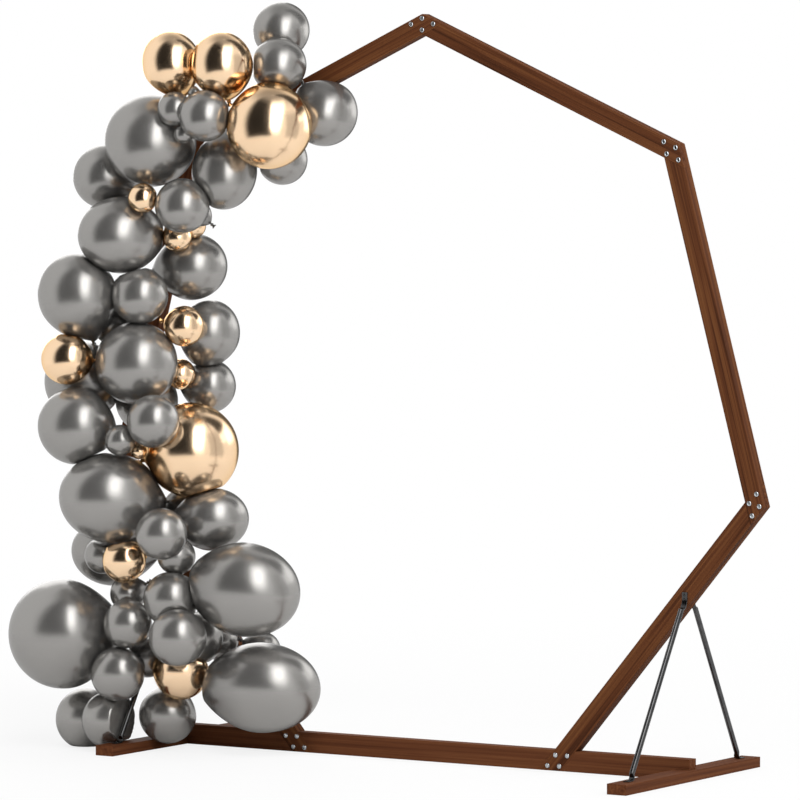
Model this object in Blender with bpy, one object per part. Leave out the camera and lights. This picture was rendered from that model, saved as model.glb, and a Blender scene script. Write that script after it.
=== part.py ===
"""Heptagonal timber wedding arch on two braced feet, with a balloon garland down its left side.

Metres, +Z up. The origin is on the floor, midway between the feet, in the middle of the
timber's thickness. The front of the arch faces -Y and the garland hangs at -X.
"""

import math
from typing import NamedTuple

import bmesh
import bpy
from mathutils import Matrix, Vector

# Crossing points of the beams' centre lines, right half of the heptagon
HEEL_X = 0.4585
ELBOW_X = 1.109
ELBOW_Z = 0.797
SHOULDER_X = 0.839
SHOULDER_RISE = 1.001
APEX_RISE = 0.372

# Timber sections
TIMBER_THICKNESS = 0.038
BEAM_WIDTH = 0.055
BASE_HEIGHT = 0.0605
FOOT_X = 0.884
BASE_END_PAST_FOOT_MIDDLE = 0.0145
FOOT_WIDTH = 0.0625
FOOT_HEIGHT = 0.0305
FOOT_FRONT = 0.407
FOOT_REAR = 0.370
BASE_HALF_LENGTH = FOOT_X + BASE_END_PAST_FOOT_MIDDLE

# Steel braces from the feet up to the lower beams
BRACE_DIAMETER = 0.016
BRACE_TAB_THICKNESS = 0.003
BRACE_TAB_WIDTH = 0.020
BRACE_TOP_ABOVE_BEAM_MIDDLE = 0.013
BRACE_STRAP_LENGTH = 0.052
BRACE_TAB_LENGTH = 0.038
BRACE_END_MARGIN = 0.052
BRACE_FLARE = 0.035
BRACE_SIDES = 12
FLAT_SECTION = 0.35
ROUND_SECTION = 1.0

# Fits
SEAT_GAP = 0.0003
FLOOR_CLEARANCE = 0.002
BALLOON_GAP = 0.0004
CUTTER_REACH = 3.0 * BEAM_WIDTH

# Balloon shape, as shares of its radius, and how finely it is divided
NECK_TAPER = 0.10
NECK_STRETCH = 0.05
LEAST_SEGMENTS = 8
SEGMENTS_PER_SIZE = 44
SIZE_POWER = 0.75

# Meshing tolerances
WELD_DISTANCE = 1e-5
CUT_TOLERANCE = 1e-6
SHARP_ANGLE = math.radians(38.0)

GRAPHITE = "graphite"
GOLD = "gold"
TIMBER = "timber"
STEEL = "steel"

# Finish name: base colour, roughness, metallic
FINISHES = {
    TIMBER: ((0.125, 0.047, 0.022, 1.0), 0.55, 0.0),
    STEEL: ((0.06, 0.065, 0.07, 1.0), 0.35, 1.0),
    GRAPHITE: ((0.15, 0.15, 0.155, 1.0), 0.28, 0.85),
    GOLD: ((0.62, 0.40, 0.19, 1.0), 0.18, 0.9),
}

FRONT = -1.0
REAR = 1.0
LEFT = -1.0
RIGHT = 1.0


class Strip(NamedTuple):
    """A straight timber seen from the front, as its centre line and its width."""

    start: Vector
    end: Vector
    width: float

    @property
    def along(self) -> Vector:
        return (self.end - self.start).normalized()

    @property
    def out(self) -> Vector:
        """Unit normal in the frame's plane, on the left of the way from start to end."""
        return Vector((-self.along.z, 0.0, self.along.x))

    def edge(self, side: float) -> tuple[Vector, Vector]:
        """One point and the direction of the edge at side * half the width."""
        return self.start + self.out * side * self.width / 2, self.along


def meet(line_a: tuple[Vector, Vector], line_b: tuple[Vector, Vector]) -> Vector:
    """Crossing point of two lines in the XZ plane."""
    (point_a, way_a), (point_b, way_b) = line_a, line_b
    step = point_b - point_a
    cross = way_a.x * way_b.z - way_a.z * way_b.x
    reach = (step.x * way_b.z - step.z * way_b.x) / cross
    return point_a + way_a * reach


def clear_scene() -> None:
    """Start from an empty scene."""
    for item in list(bpy.context.scene.objects):
        bpy.data.objects.remove(item)


def make_collection(name: str) -> bpy.types.Collection:
    """New collection in the scene."""
    group = bpy.data.collections.new(name)
    bpy.context.scene.collection.children.link(group)
    return group


def make_material(name: str, finish: str) -> bpy.types.Material:
    """Plain material of one of the four finishes."""
    colour, roughness, metallic = FINISHES[finish]
    material = bpy.data.materials.new(name)
    material.use_nodes = True
    shader = material.node_tree.nodes["Principled BSDF"]
    shader.inputs["Base Color"].default_value = colour
    shader.inputs["Roughness"].default_value = roughness
    shader.inputs["Metallic"].default_value = metallic
    return material


class Workshop:
    """Collects the arch's pieces in one collection and their cutters in another."""

    def __init__(self) -> None:
        self.parts = make_collection("wedding_arch")
        self.cutters = make_collection("arch_cutters")
        self.anchor = bpy.data.objects.new("arch_anchor", None)
        self.parts.objects.link(self.anchor)

    def add_part(self, name: str, mesh: bpy.types.Mesh, finish: str) -> bpy.types.Object:
        part = bpy.data.objects.new(name, mesh)
        mesh.materials.clear()
        mesh.materials.append(make_material(name + "_finish", finish))
        part.parent = self.anchor
        self.parts.objects.link(part)
        return part

    def add_cutter(self, name: str, mesh: bpy.types.Mesh) -> bpy.types.Object:
        cutter = bpy.data.objects.new(name, mesh)
        cutter.hide_render = True
        cutter.display_type = "WIRE"
        self.cutters.objects.link(cutter)
        return cutter

    def boolean(self, part: bpy.types.Object, other: bpy.types.Object, operation: str) -> None:
        modifier = part.modifiers.new(other.name, "BOOLEAN")
        modifier.operation = operation
        modifier.solver = "EXACT"
        modifier.object = other


def extruded_outline(name: str, corners: list[Vector], thickness: float) -> bpy.types.Mesh:
    """Mesh of a flat outline in the XZ plane, extruded evenly to the front and the rear."""
    curve = bpy.data.curves.new(name, "CURVE")
    curve.dimensions = "2D"
    curve.fill_mode = "BOTH"
    curve.extrude = thickness / 2
    spline = curve.splines.new("POLY")
    spline.points.add(len(corners) - 1)
    for point, corner in zip(spline.points, corners):
        point.co = (corner.x, corner.z, 0.0, 1.0)
    spline.use_cyclic_u = True
    outline = bpy.data.objects.new(name, curve)
    bpy.context.scene.collection.objects.link(outline)
    depsgraph = bpy.context.evaluated_depsgraph_get()
    mesh = bpy.data.meshes.new_from_object(outline.evaluated_get(depsgraph))
    bpy.data.objects.remove(outline)
    mesh.transform(Matrix.Rotation(math.pi / 2, 4, "X"))
    shape = bmesh.new()
    shape.from_mesh(mesh)
    bmesh.ops.remove_doubles(shape, verts=shape.verts, dist=WELD_DISTANCE)
    bmesh.ops.recalc_face_normals(shape, faces=shape.faces)
    shape.to_mesh(mesh)
    shape.free()
    return mesh


def box_mesh(name: str, low: Vector, high: Vector, turn: Matrix | None = None) -> bpy.types.Mesh:
    """Box between two corners, turned about the world origin when turn is given."""
    shape = bmesh.new()
    bmesh.ops.create_cube(shape, size=1.0)
    bmesh.ops.scale(shape, vec=high - low, verts=shape.verts)
    bmesh.ops.translate(shape, vec=(high + low) / 2, verts=shape.verts)
    if turn is not None:
        bmesh.ops.transform(shape, matrix=turn, verts=shape.verts)
    mesh = bpy.data.meshes.new(name)
    shape.to_mesh(mesh)
    shape.free()
    return mesh


def strip_matrix(strip: Strip, origin: Vector) -> Matrix:
    """Local X along the strip, local Z outward, local Y to the rear."""
    rows = Matrix((strip.along, Vector((0.0, 1.0, 0.0)), strip.out)).transposed()
    return Matrix.Translation(origin) @ rows.to_4x4()


def lap_cutter(
    shop: Workshop, name: str, mate: Strip, corner: Vector, side: float
) -> bpy.types.Object:
    """Half-thickness pocket in which the mating timber lies, on the front or the rear side."""
    inner = side * -SEAT_GAP / 2
    outer = side * TIMBER_THICKNESS
    half = mate.width / 2 + SEAT_GAP
    low = Vector((-CUTTER_REACH, min(inner, outer), -half))
    high = Vector((CUTTER_REACH, max(inner, outer), half))
    return shop.add_cutter(name, box_mesh(name, low, high, strip_matrix(mate, corner)))


def frame_strips() -> dict[str, Strip]:
    """The heptagon's seven timbers, named, clockwise from the apex as seen from the front."""
    shoulder_z = ELBOW_Z + SHOULDER_RISE
    apex = Vector((0.0, 0.0, shoulder_z + APEX_RISE))
    corners = {}
    for side, word in ((RIGHT, "right"), (LEFT, "left")):
        corners["shoulder_" + word] = Vector((side * SHOULDER_X, 0.0, shoulder_z))
        corners["elbow_" + word] = Vector((side * ELBOW_X, 0.0, ELBOW_Z))
        corners["heel_" + word] = Vector((side * HEEL_X, 0.0, BASE_HEIGHT / 2))
    return {
        "upper_right_beam": Strip(apex, corners["shoulder_right"], BEAM_WIDTH),
        "side_right_beam": Strip(corners["shoulder_right"], corners["elbow_right"], BEAM_WIDTH),
        "lower_right_beam": Strip(corners["elbow_right"], corners["heel_right"], BEAM_WIDTH),
        "base_beam": Strip(corners["heel_right"], corners["heel_left"], BASE_HEIGHT),
        "lower_left_beam": Strip(corners["heel_left"], corners["elbow_left"], BEAM_WIDTH),
        "side_left_beam": Strip(corners["elbow_left"], corners["shoulder_left"], BEAM_WIDTH),
        "upper_left_beam": Strip(corners["shoulder_left"], apex, BEAM_WIDTH),
    }


# Which half of its thickness a beam keeps at the start and the end of its strip
KEPT_HALVES = {
    "upper_right_beam": (REAR, FRONT),
    "side_right_beam": (REAR, FRONT),
    "lower_right_beam": (REAR, FRONT),
    "lower_left_beam": (FRONT, REAR),
    "side_left_beam": (FRONT, REAR),
    "upper_left_beam": (FRONT, FRONT),
}


def build_beams(shop: Workshop, strips: dict[str, Strip]) -> None:
    """The six slanted beams, half-lapped on each other and on the base."""
    names = list(strips)
    for index, name in enumerate(names):
        if name == "base_beam":
            continue
        strip = strips[name]
        before = strips[names[index - 1]]
        after = strips[names[(index + 1) % len(names)]]
        outline = [
            meet(strip.edge(1.0), before.edge(1.0)),
            meet(strip.edge(1.0), after.edge(1.0)),
            meet(strip.edge(-1.0), after.edge(1.0)),
            meet(strip.edge(-1.0), before.edge(1.0)),
        ]
        beam = shop.add_part(name, extruded_outline(name, outline, TIMBER_THICKNESS), TIMBER)
        ends = ((before, strip.start), (after, strip.end))
        for (mate, corner), kept, word in zip(ends, KEPT_HALVES[name], ("start", "end")):
            cutter = lap_cutter(shop, f"{name}_{word}_lap", mate, corner, -kept)
            shop.boolean(beam, cutter, "DIFFERENCE")


def build_base(shop: Workshop, strips: dict[str, Strip]) -> None:
    """Base beam on edge, lapped by the lower beams and notched over both feet."""
    low = Vector((-BASE_HALF_LENGTH, -TIMBER_THICKNESS / 2, 0.0))
    high = Vector((BASE_HALF_LENGTH, TIMBER_THICKNESS / 2, BASE_HEIGHT))
    base = shop.add_part("base_beam", box_mesh("base_beam", low, high), TIMBER)
    strip = strips["base_beam"]
    heels = (
        ("right", strips["lower_right_beam"], strip.start),
        ("left", strips["lower_left_beam"], strip.end),
    )
    for word, mate, corner in heels:
        cutter = lap_cutter(shop, f"base_{word}_lap", mate, corner, FRONT)
        shop.boolean(base, cutter, "DIFFERENCE")
    for side, word in ((RIGHT, "right"), (LEFT, "left")):
        inner = FOOT_X - FOOT_WIDTH / 2 - SEAT_GAP
        outer = max(BASE_HALF_LENGTH, FOOT_X + FOOT_WIDTH / 2) + FOOT_WIDTH
        xs = sorted((side * inner, side * outer))
        low = Vector((xs[0], -TIMBER_THICKNESS, -FOOT_HEIGHT))
        high = Vector((xs[1], TIMBER_THICKNESS, FOOT_HEIGHT + SEAT_GAP))
        notch = shop.add_cutter(f"base_{word}_notch", box_mesh("notch", low, high))
        shop.boolean(base, notch, "DIFFERENCE")


def build_feet(shop: Workshop) -> None:
    """Flat timbers on the floor, one under each end of the base."""
    for side, word in ((RIGHT, "right"), (LEFT, "left")):
        middle = side * FOOT_X
        low = Vector((middle - FOOT_WIDTH / 2, -FOOT_FRONT, 0.0))
        high = Vector((middle + FOOT_WIDTH / 2, FOOT_REAR, FOOT_HEIGHT))
        shop.add_part(f"{word}_foot", box_mesh("foot", low, high), TIMBER)


class Ring(NamedTuple):
    """One cross-section of a brace: its middle, its two half sizes and how square it is."""

    middle: Vector
    normal: Vector
    half_width: float
    half_thickness: float
    squareness: float


def ring_points(ring: Ring) -> list[Vector]:
    """Section outline, a circle at squareness 1 and nearly a rectangle at small values."""
    points = []
    for index in range(BRACE_SIDES):
        angle = math.tau * (index + 0.5) / BRACE_SIDES
        across = math.copysign(abs(math.cos(angle)) ** ring.squareness, math.cos(angle))
        through = math.copysign(abs(math.sin(angle)) ** ring.squareness, math.sin(angle))
        offset = Vector((across * ring.half_width, 0.0, 0.0))
        points.append(ring.middle + offset + ring.normal * through * ring.half_thickness)
    return points


def loft_mesh(name: str, rings: list[Ring]) -> bpy.types.Mesh:
    """Closed skin through the rings, because its round and flat sections are unlike."""
    shape = bmesh.new()
    rows = [[shape.verts.new(point) for point in ring_points(ring)] for ring in rings]
    for lower, upper in zip(rows, rows[1:]):
        for index in range(BRACE_SIDES):
            after = (index + 1) % BRACE_SIDES
            shape.faces.new((lower[index], lower[after], upper[after], upper[index]))
    shape.faces.new(rows[0])
    shape.faces.new(rows[-1])
    bmesh.ops.recalc_face_normals(shape, faces=shape.faces)
    mesh = bpy.data.meshes.new(name)
    shape.to_mesh(mesh)
    shape.free()
    mesh.shade_smooth()
    mesh.set_sharp_from_angle(angle=SHARP_ANGLE)
    return mesh


def brace_rings(beam: Strip, side: float, face: float) -> list[Ring]:
    """Sections of one brace, from its strap on the lower beam down to its tab on the foot."""
    middle_x = side * FOOT_X
    beam_z = beam.start.z + (middle_x - beam.start.x) * beam.along.z / beam.along.x
    top_z = beam_z + BRACE_TOP_ABOVE_BEAM_MIDDLE
    half_tab = BRACE_TAB_THICKNESS / 2
    strap_y = face * (TIMBER_THICKNESS / 2 + SEAT_GAP + half_tab)
    foot_end = FOOT_FRONT if face == FRONT else FOOT_REAR
    tab_y = face * (foot_end - BRACE_END_MARGIN)
    tab_z = FOOT_HEIGHT + SEAT_GAP + half_tab
    top = Vector((middle_x, strap_y, top_z))
    upper_bend = Vector((middle_x, strap_y, top_z - BRACE_STRAP_LENGTH))
    lower_bend = Vector((middle_x, tab_y - face * BRACE_TAB_LENGTH, tab_z))
    tab_end = Vector((middle_x, tab_y, tab_z))
    slope = (lower_bend - upper_bend).normalized()
    lean = Vector((0.0, slope.z, -slope.y))
    if lean.y * face < 0.0:
        lean = -lean
    outward = Vector((0.0, face, 0.0))
    upward = Vector((0.0, 0.0, 1.0))
    radius = BRACE_DIAMETER / 2
    half_strap = BRACE_TAB_WIDTH / 2
    tube_lift = lean * (radius - half_tab) / 2
    tube_top = upper_bend + slope * BRACE_FLARE + tube_lift
    tube_foot = lower_bend - slope * BRACE_FLARE + tube_lift
    return [
        Ring(top, outward, half_strap, half_tab, FLAT_SECTION),
        Ring(upper_bend, (outward + lean).normalized(), half_strap, half_tab, FLAT_SECTION),
        Ring(tube_top, lean, radius, radius, ROUND_SECTION),
        Ring(tube_foot, lean, radius, radius, ROUND_SECTION),
        Ring(lower_bend, (lean + upward).normalized(), half_strap, half_tab, FLAT_SECTION),
        Ring(tab_end, upward, half_strap, half_tab, FLAT_SECTION),
    ]


def build_braces(shop: Workshop, strips: dict[str, Strip]) -> None:
    """A brace in front of and one behind each lower beam."""
    for side, side_word in ((RIGHT, "right"), (LEFT, "left")):
        beam = strips[f"lower_{side_word}_beam"]
        for face, face_word in ((FRONT, "front"), (REAR, "rear")):
            name = f"{side_word}_{face_word}_brace"
            shop.add_part(name, loft_mesh(name, brace_rings(beam, side, face)), STEEL)


TOP = "upper_left_beam"
SIDE = "side_left_beam"
LOWER = "lower_left_beam"
FLOOR = "left_foot"


class Balloon(NamedTuple):
    """One balloon: its middle measured along, out from and in front of its cluster's line."""

    along: float
    out: float
    front: float
    diameter: float


class Cluster(NamedTuple):
    """Balloons of one finish, tied together at their necks and hung from one line."""

    line: str
    finish: str
    balloons: list[Balloon]


# The garland from its top down. Places are read from the photograph to the nearest 5 mm
# and diameters to 2 mm.
CLUSTERS = {
    "top_grey_pair": Cluster(TOP, GRAPHITE, [
        Balloon(0.490, 0.065, 0.135, 0.156),
        Balloon(0.465, 0.190, 0.060, 0.166),
    ]),
    "top_gold_pair": Cluster(TOP, GOLD, [
        Balloon(0.365, 0.115, 0.255, 0.186),
        Balloon(0.220, 0.185, 0.280, 0.186),
    ]),
    "top_gold_balloon": Cluster(TOP, GOLD, [
        Balloon(0.430, -0.105, 0.225, 0.258),
    ]),
    "top_rear_balloon": Cluster(TOP, GRAPHITE, [
        Balloon(0.510, -0.100, 0.040, 0.200),
    ]),
    "top_hanging_balloon": Cluster(TOP, GRAPHITE, [
        Balloon(0.335, -0.175, 0.070, 0.150),
    ]),
    "shoulder_large_pair": Cluster(SIDE, GRAPHITE, [
        Balloon(1.075, -0.020, 0.250, 0.278),
        Balloon(0.925, 0.130, 0.235, 0.192),
    ]),
    "shoulder_small_cluster": Cluster(TOP, GRAPHITE, [
        Balloon(0.290, -0.015, 0.325, 0.152),
        Balloon(0.200, 0.050, 0.320, 0.102),
        Balloon(0.190, -0.025, 0.305, 0.058),
        Balloon(0.265, 0.065, 0.300, 0.042),
    ]),
    "shoulder_grey_trio": Cluster(SIDE, GRAPHITE, [
        Balloon(1.045, -0.245, 0.175, 0.208),
        Balloon(0.925, -0.195, 0.280, 0.164),
        Balloon(0.895, -0.195, 0.175, 0.072),
    ]),
    "shoulder_gold_balloon": Cluster(SIDE, GOLD, [
        Balloon(0.920, -0.090, 0.335, 0.088),
    ]),
    "upper_gold_pair": Cluster(SIDE, GOLD, [
        Balloon(0.815, -0.150, 0.205, 0.090),
        Balloon(0.850, -0.155, 0.140, 0.078),
    ]),
    "upper_rear_balloon": Cluster(SIDE, GRAPHITE, [
        Balloon(0.720, -0.150, 0.105, 0.208),
    ]),
    "upper_grey_cluster": Cluster(SIDE, GRAPHITE, [
        Balloon(0.785, -0.015, 0.300, 0.244),
        Balloon(0.575, 0.060, 0.355, 0.256),
        Balloon(0.625, -0.115, 0.275, 0.168),
        Balloon(0.505, 0.010, 0.195, 0.146),
    ]),
    "middle_gold_balloon": Cluster(SIDE, GOLD, [
        Balloon(0.565, -0.245, 0.210, 0.122),
    ]),
    "middle_rear_pair": Cluster(SIDE, GRAPHITE, [
        Balloon(0.535, -0.240, 0.060, 0.196),
        Balloon(0.375, -0.260, 0.030, 0.164),
    ]),
    "outer_gold_balloon": Cluster(SIDE, GOLD, [
        Balloon(0.390, 0.015, 0.390, 0.154),
    ]),
    "middle_grey_pair": Cluster(SIDE, GRAPHITE, [
        Balloon(0.425, -0.150, 0.275, 0.248),
        Balloon(0.305, -0.130, 0.130, 0.182),
    ]),
    "middle_small_gold_balloon": Cluster(SIDE, GOLD, [
        Balloon(0.405, -0.220, 0.135, 0.092),
    ]),
    "middle_outer_pair": Cluster(SIDE, GRAPHITE, [
        Balloon(0.205, -0.055, 0.375, 0.236),
        Balloon(0.305, 0.055, 0.225, 0.240),
    ]),
    "middle_front_balloon": Cluster(SIDE, GRAPHITE, [
        Balloon(0.295, -0.310, 0.360, 0.158),
    ]),
    "middle_small_balloon": Cluster(SIDE, GRAPHITE, [
        Balloon(0.210, -0.220, 0.375, 0.092),
    ]),
    "large_gold_pair": Cluster(SIDE, GOLD, [
        Balloon(0.205, -0.345, 0.180, 0.288),
        Balloon(0.185, -0.260, 0.325, 0.048),
    ]),
    "elbow_grey_cluster": Cluster(LOWER, GRAPHITE, [
        Balloon(0.850, -0.135, 0.330, 0.298),
        Balloon(0.790, 0.068, 0.170, 0.222),
        Balloon(0.750, 0.020, 0.305, 0.110),
    ]),
    "elbow_rear_pair": Cluster(LOWER, GRAPHITE, [
        Balloon(0.640, -0.275, 0.160, 0.202),
        Balloon(0.745, -0.175, 0.085, 0.158),
    ]),
    "elbow_front_pair": Cluster(LOWER, GRAPHITE, [
        Balloon(0.640, -0.230, 0.370, 0.154),
        Balloon(0.595, -0.175, 0.270, 0.116),
    ]),
    "elbow_gold_balloon": Cluster(LOWER, GOLD, [
        Balloon(0.675, -0.055, 0.340, 0.132),
    ]),
    "lower_inner_trio": Cluster(LOWER, GRAPHITE, [
        Balloon(0.385, -0.275, 0.230, 0.310),
        Balloon(0.495, -0.095, 0.310, 0.164),
        Balloon(0.370, -0.070, 0.370, 0.172),
    ]),
    "lower_small_pair": Cluster(FLOOR, GRAPHITE, [
        Balloon(0.390, -0.035, 0.330, 0.148),
        Balloon(0.475, 0.010, 0.265, 0.110),
    ]),
    "lower_outer_balloon": Cluster(FLOOR, GRAPHITE, [
        Balloon(0.350, 0.210, 0.330, 0.336),
    ]),
    "lower_grey_pair": Cluster(LOWER, GRAPHITE, [
        Balloon(0.405, -0.015, 0.175, 0.162),
        Balloon(0.385, 0.005, 0.045, 0.110),
    ]),
    "heel_pair": Cluster(LOWER, GRAPHITE, [
        Balloon(0.145, -0.095, 0.165, 0.310),
        Balloon(0.280, -0.085, 0.025, 0.116),
    ]),
    "lower_front_pair": Cluster(FLOOR, GRAPHITE, [
        Balloon(0.240, -0.005, 0.340, 0.164),
        Balloon(0.280, -0.025, 0.220, 0.122),
    ]),
    "floor_pair": Cluster(FLOOR, GRAPHITE, [
        Balloon(0.095, 0.055, 0.305, 0.170),
        Balloon(0.085, 0.195, 0.230, 0.188),
    ]),
    "lower_gold_balloon": Cluster(LOWER, GOLD, [
        Balloon(0.340, 0.070, 0.225, 0.168),
    ]),
    "floor_balloon": Cluster(FLOOR, GRAPHITE, [
        Balloon(0.105, -0.065, 0.170, 0.174),
    ]),
}


def tie_frames(strips: dict[str, Strip]) -> dict[str, Strip]:
    """The lines that balloons are placed along: three beams, and a post line over the foot."""
    foot = Vector((-FOOT_X, 0.0, 0.0))
    return {
        TOP: strips["upper_left_beam"],
        SIDE: strips["side_left_beam"],
        LOWER: strips["lower_left_beam"],
        FLOOR: Strip(foot, foot + Vector((0.0, 0.0, 1.0)), BEAM_WIDTH),
    }


def balloon_centre(balloon: Balloon, line: Strip) -> Vector:
    """Middle of a balloon in the world."""
    in_plane = line.start + line.along * balloon.along + line.out * balloon.out
    return in_plane + Vector((0.0, -balloon.front, 0.0))


class Obstacle(NamedTuple):
    """A box that balloons press against: its middle, its axes as rows and its half sizes."""

    middle: Vector
    axes: Matrix
    half: Vector


def nearest_on_obstacle(obstacle: Obstacle, point: Vector) -> Vector:
    """Point of the box that is nearest to another point."""
    local = obstacle.axes @ (point - obstacle.middle)
    limits = zip(local, obstacle.half)
    clamped = Vector([max(-limit, min(limit, value)) for value, limit in limits])
    return obstacle.middle + obstacle.axes.transposed() @ clamped


def strip_obstacle(strip: Strip) -> Obstacle:
    """A timber as a box, long enough to hold the corners past its crossing points."""
    axes = Matrix((strip.along, Vector((0.0, 1.0, 0.0)), strip.out))
    half_length = (strip.end - strip.start).length / 2 + strip.width / 2
    half = Vector((half_length, TIMBER_THICKNESS / 2, strip.width / 2))
    return Obstacle((strip.start + strip.end) / 2, axes, half)


def garland_obstacles(strips: dict[str, Strip]) -> list[Obstacle]:
    """Everything of the frame's left half that a balloon could run into."""
    upright = Matrix.Identity(3)
    names = ("upper_left_beam", "side_left_beam", "lower_left_beam")
    obstacles = [strip_obstacle(strips[name]) for name in names]
    base_middle = Vector((-BASE_HALF_LENGTH / 2, 0.0, BASE_HEIGHT / 2))
    base_half = Vector((BASE_HALF_LENGTH / 2, TIMBER_THICKNESS / 2, BASE_HEIGHT / 2))
    obstacles.append(Obstacle(base_middle, upright, base_half))
    foot_middle = Vector((-FOOT_X, (FOOT_REAR - FOOT_FRONT) / 2, FOOT_HEIGHT / 2))
    foot_half = Vector((FOOT_WIDTH / 2, (FOOT_FRONT + FOOT_REAR) / 2, FOOT_HEIGHT / 2))
    obstacles.append(Obstacle(foot_middle, upright, foot_half))
    for face in (FRONT, REAR):
        rings = brace_rings(strips["lower_left_beam"], LEFT, face)
        for upper, lower in zip(rings, rings[1:]):
            way = (lower.middle - upper.middle).normalized()
            across = Vector((1.0, 0.0, 0.0))
            axes = Matrix((way, across, way.cross(across)))
            half_width = max(upper.half_width, lower.half_width)
            half_thickness = max(upper.half_thickness, lower.half_thickness) + BRACE_TAB_THICKNESS
            half = Vector(((lower.middle - upper.middle).length / 2, half_width, half_thickness))
            obstacles.append(Obstacle((upper.middle + lower.middle) / 2, axes, half))
    return obstacles


def balloon_shape(radius: float, centre: Vector, neck: Vector) -> bmesh.types.BMesh:
    """Round balloon, drawn out slightly towards its neck."""
    segments = 2 * round((LEAST_SEGMENTS + SEGMENTS_PER_SIZE * radius ** SIZE_POWER) / 2)
    shape = bmesh.new()
    bmesh.ops.create_uvsphere(shape, u_segments=segments, v_segments=segments // 2 + 1, radius=1.0)
    for vert in shape.verts:
        towards_neck = max(vert.co.z, 0.0)
        slim = 1.0 - NECK_TAPER * towards_neck ** 2
        vert.co.x *= slim
        vert.co.y *= slim
        vert.co.z *= 1.0 + NECK_STRETCH * towards_neck ** 2
    turn = Vector((0.0, 0.0, 1.0)).rotation_difference(neck).to_matrix().to_4x4()
    matrix = Matrix.Translation(centre) @ turn @ Matrix.Scale(radius, 4)
    bmesh.ops.transform(shape, matrix=matrix, verts=shape.verts)
    return shape


def press_flat(shape: bmesh.types.BMesh, point: Vector, normal: Vector) -> None:
    """Cut away what lies beyond a plane and close the flat that it leaves."""
    if all((vert.co - point).dot(normal) <= 0.0 for vert in shape.verts):
        return
    everything = list(shape.verts) + list(shape.edges) + list(shape.faces)
    bmesh.ops.bisect_plane(
        shape,
        geom=everything,
        dist=CUT_TOLERANCE,
        plane_co=point,
        plane_no=normal,
        clear_outer=True,
    )
    open_edges = [edge for edge in shape.edges if edge.is_boundary]
    bmesh.ops.holes_fill(shape, edges=open_edges, sides=0)


def press_on_neighbour(
    shape: bmesh.types.BMesh, centre: Vector, radius: float, other: Vector, other_radius: float
) -> None:
    """Flatten a balloon where it meets the next one, leaving half of their gap on this side."""
    step = other - centre
    distance = step.length
    normal = step / distance
    reach = (distance ** 2 + radius ** 2 - other_radius ** 2) / (2 * distance)
    press_flat(shape, centre + normal * (reach - BALLOON_GAP / 2), normal)


def balloon_mesh(name: str, shape: bmesh.types.BMesh) -> bpy.types.Mesh:
    """Clean closed mesh of a pressed balloon."""
    bmesh.ops.dissolve_degenerate(shape, dist=WELD_DISTANCE, edges=shape.edges)
    bmesh.ops.remove_doubles(shape, verts=shape.verts, dist=WELD_DISTANCE)
    bmesh.ops.recalc_face_normals(shape, faces=shape.faces)
    mesh = bpy.data.meshes.new(name)
    shape.to_mesh(mesh)
    shape.free()
    mesh.shade_smooth()
    mesh.set_sharp_from_angle(angle=SHARP_ANGLE)
    return mesh


def cluster_tie(cluster: Cluster, centres: list[Vector], line: Strip) -> Vector:
    """Where the necks meet: amid a cluster, or on the line for a balloon by itself."""
    if len(centres) == 1:
        return line.start + line.along * cluster.balloons[0].along
    return sum(centres, Vector()) / len(centres)


def build_garland(shop: Workshop, strips: dict[str, Strip]) -> None:
    """Balloons in tied clusters, each pressed flat by its neighbours, the timber and the floor."""
    lines = tie_frames(strips)
    obstacles = garland_obstacles(strips)
    centres = {
        name: [balloon_centre(balloon, lines[cluster.line]) for balloon in cluster.balloons]
        for name, cluster in CLUSTERS.items()
    }
    for name, cluster in CLUSTERS.items():
        tie = cluster_tie(cluster, centres[name], lines[cluster.line])
        neighbours = [
            (centre, balloon.diameter / 2)
            for other_name, other in CLUSTERS.items()
            if other_name != name
            for centre, balloon in zip(centres[other_name], other.balloons)
        ]
        meshes = []
        for number, (balloon, centre) in enumerate(zip(cluster.balloons, centres[name])):
            radius = balloon.diameter / 2
            shape = balloon_shape(radius, centre, (tie - centre).normalized())
            for obstacle in obstacles:
                nearest = nearest_on_obstacle(obstacle, centre)
                normal = (nearest - centre).normalized()
                press_flat(shape, nearest - normal * SEAT_GAP, normal)
            for other_centre, other_radius in neighbours:
                press_on_neighbour(shape, centre, radius, other_centre, other_radius)
            press_flat(shape, Vector((0.0, 0.0, FLOOR_CLEARANCE)), Vector((0.0, 0.0, -1.0)))
            meshes.append(balloon_mesh(f"{name}_{number}", shape))
        node = shop.add_part(name, meshes[0], cluster.finish)
        for mesh in meshes[1:]:
            shop.boolean(node, shop.add_cutter(mesh.name, mesh), "UNION")


def main() -> None:
    """Build the arch from the ground up, and then its garland."""
    clear_scene()
    shop = Workshop()
    strips = frame_strips()
    build_base(shop, strips)
    build_feet(shop)
    build_beams(shop, strips)
    build_braces(shop, strips)
    build_garland(shop, strips)


main()
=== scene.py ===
"""Looks of a seven-sided timber wedding arch with a balloon garland down its left side.

Metres, +Z up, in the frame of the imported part: the floor is z = 0, the front of the arch
faces -Y and the garland hangs at -X.
"""

import logging
import math
from dataclasses import dataclass, field
from enum import Enum

import bmesh
import bpy
import numpy as np
from mathutils import Matrix, Vector


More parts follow.
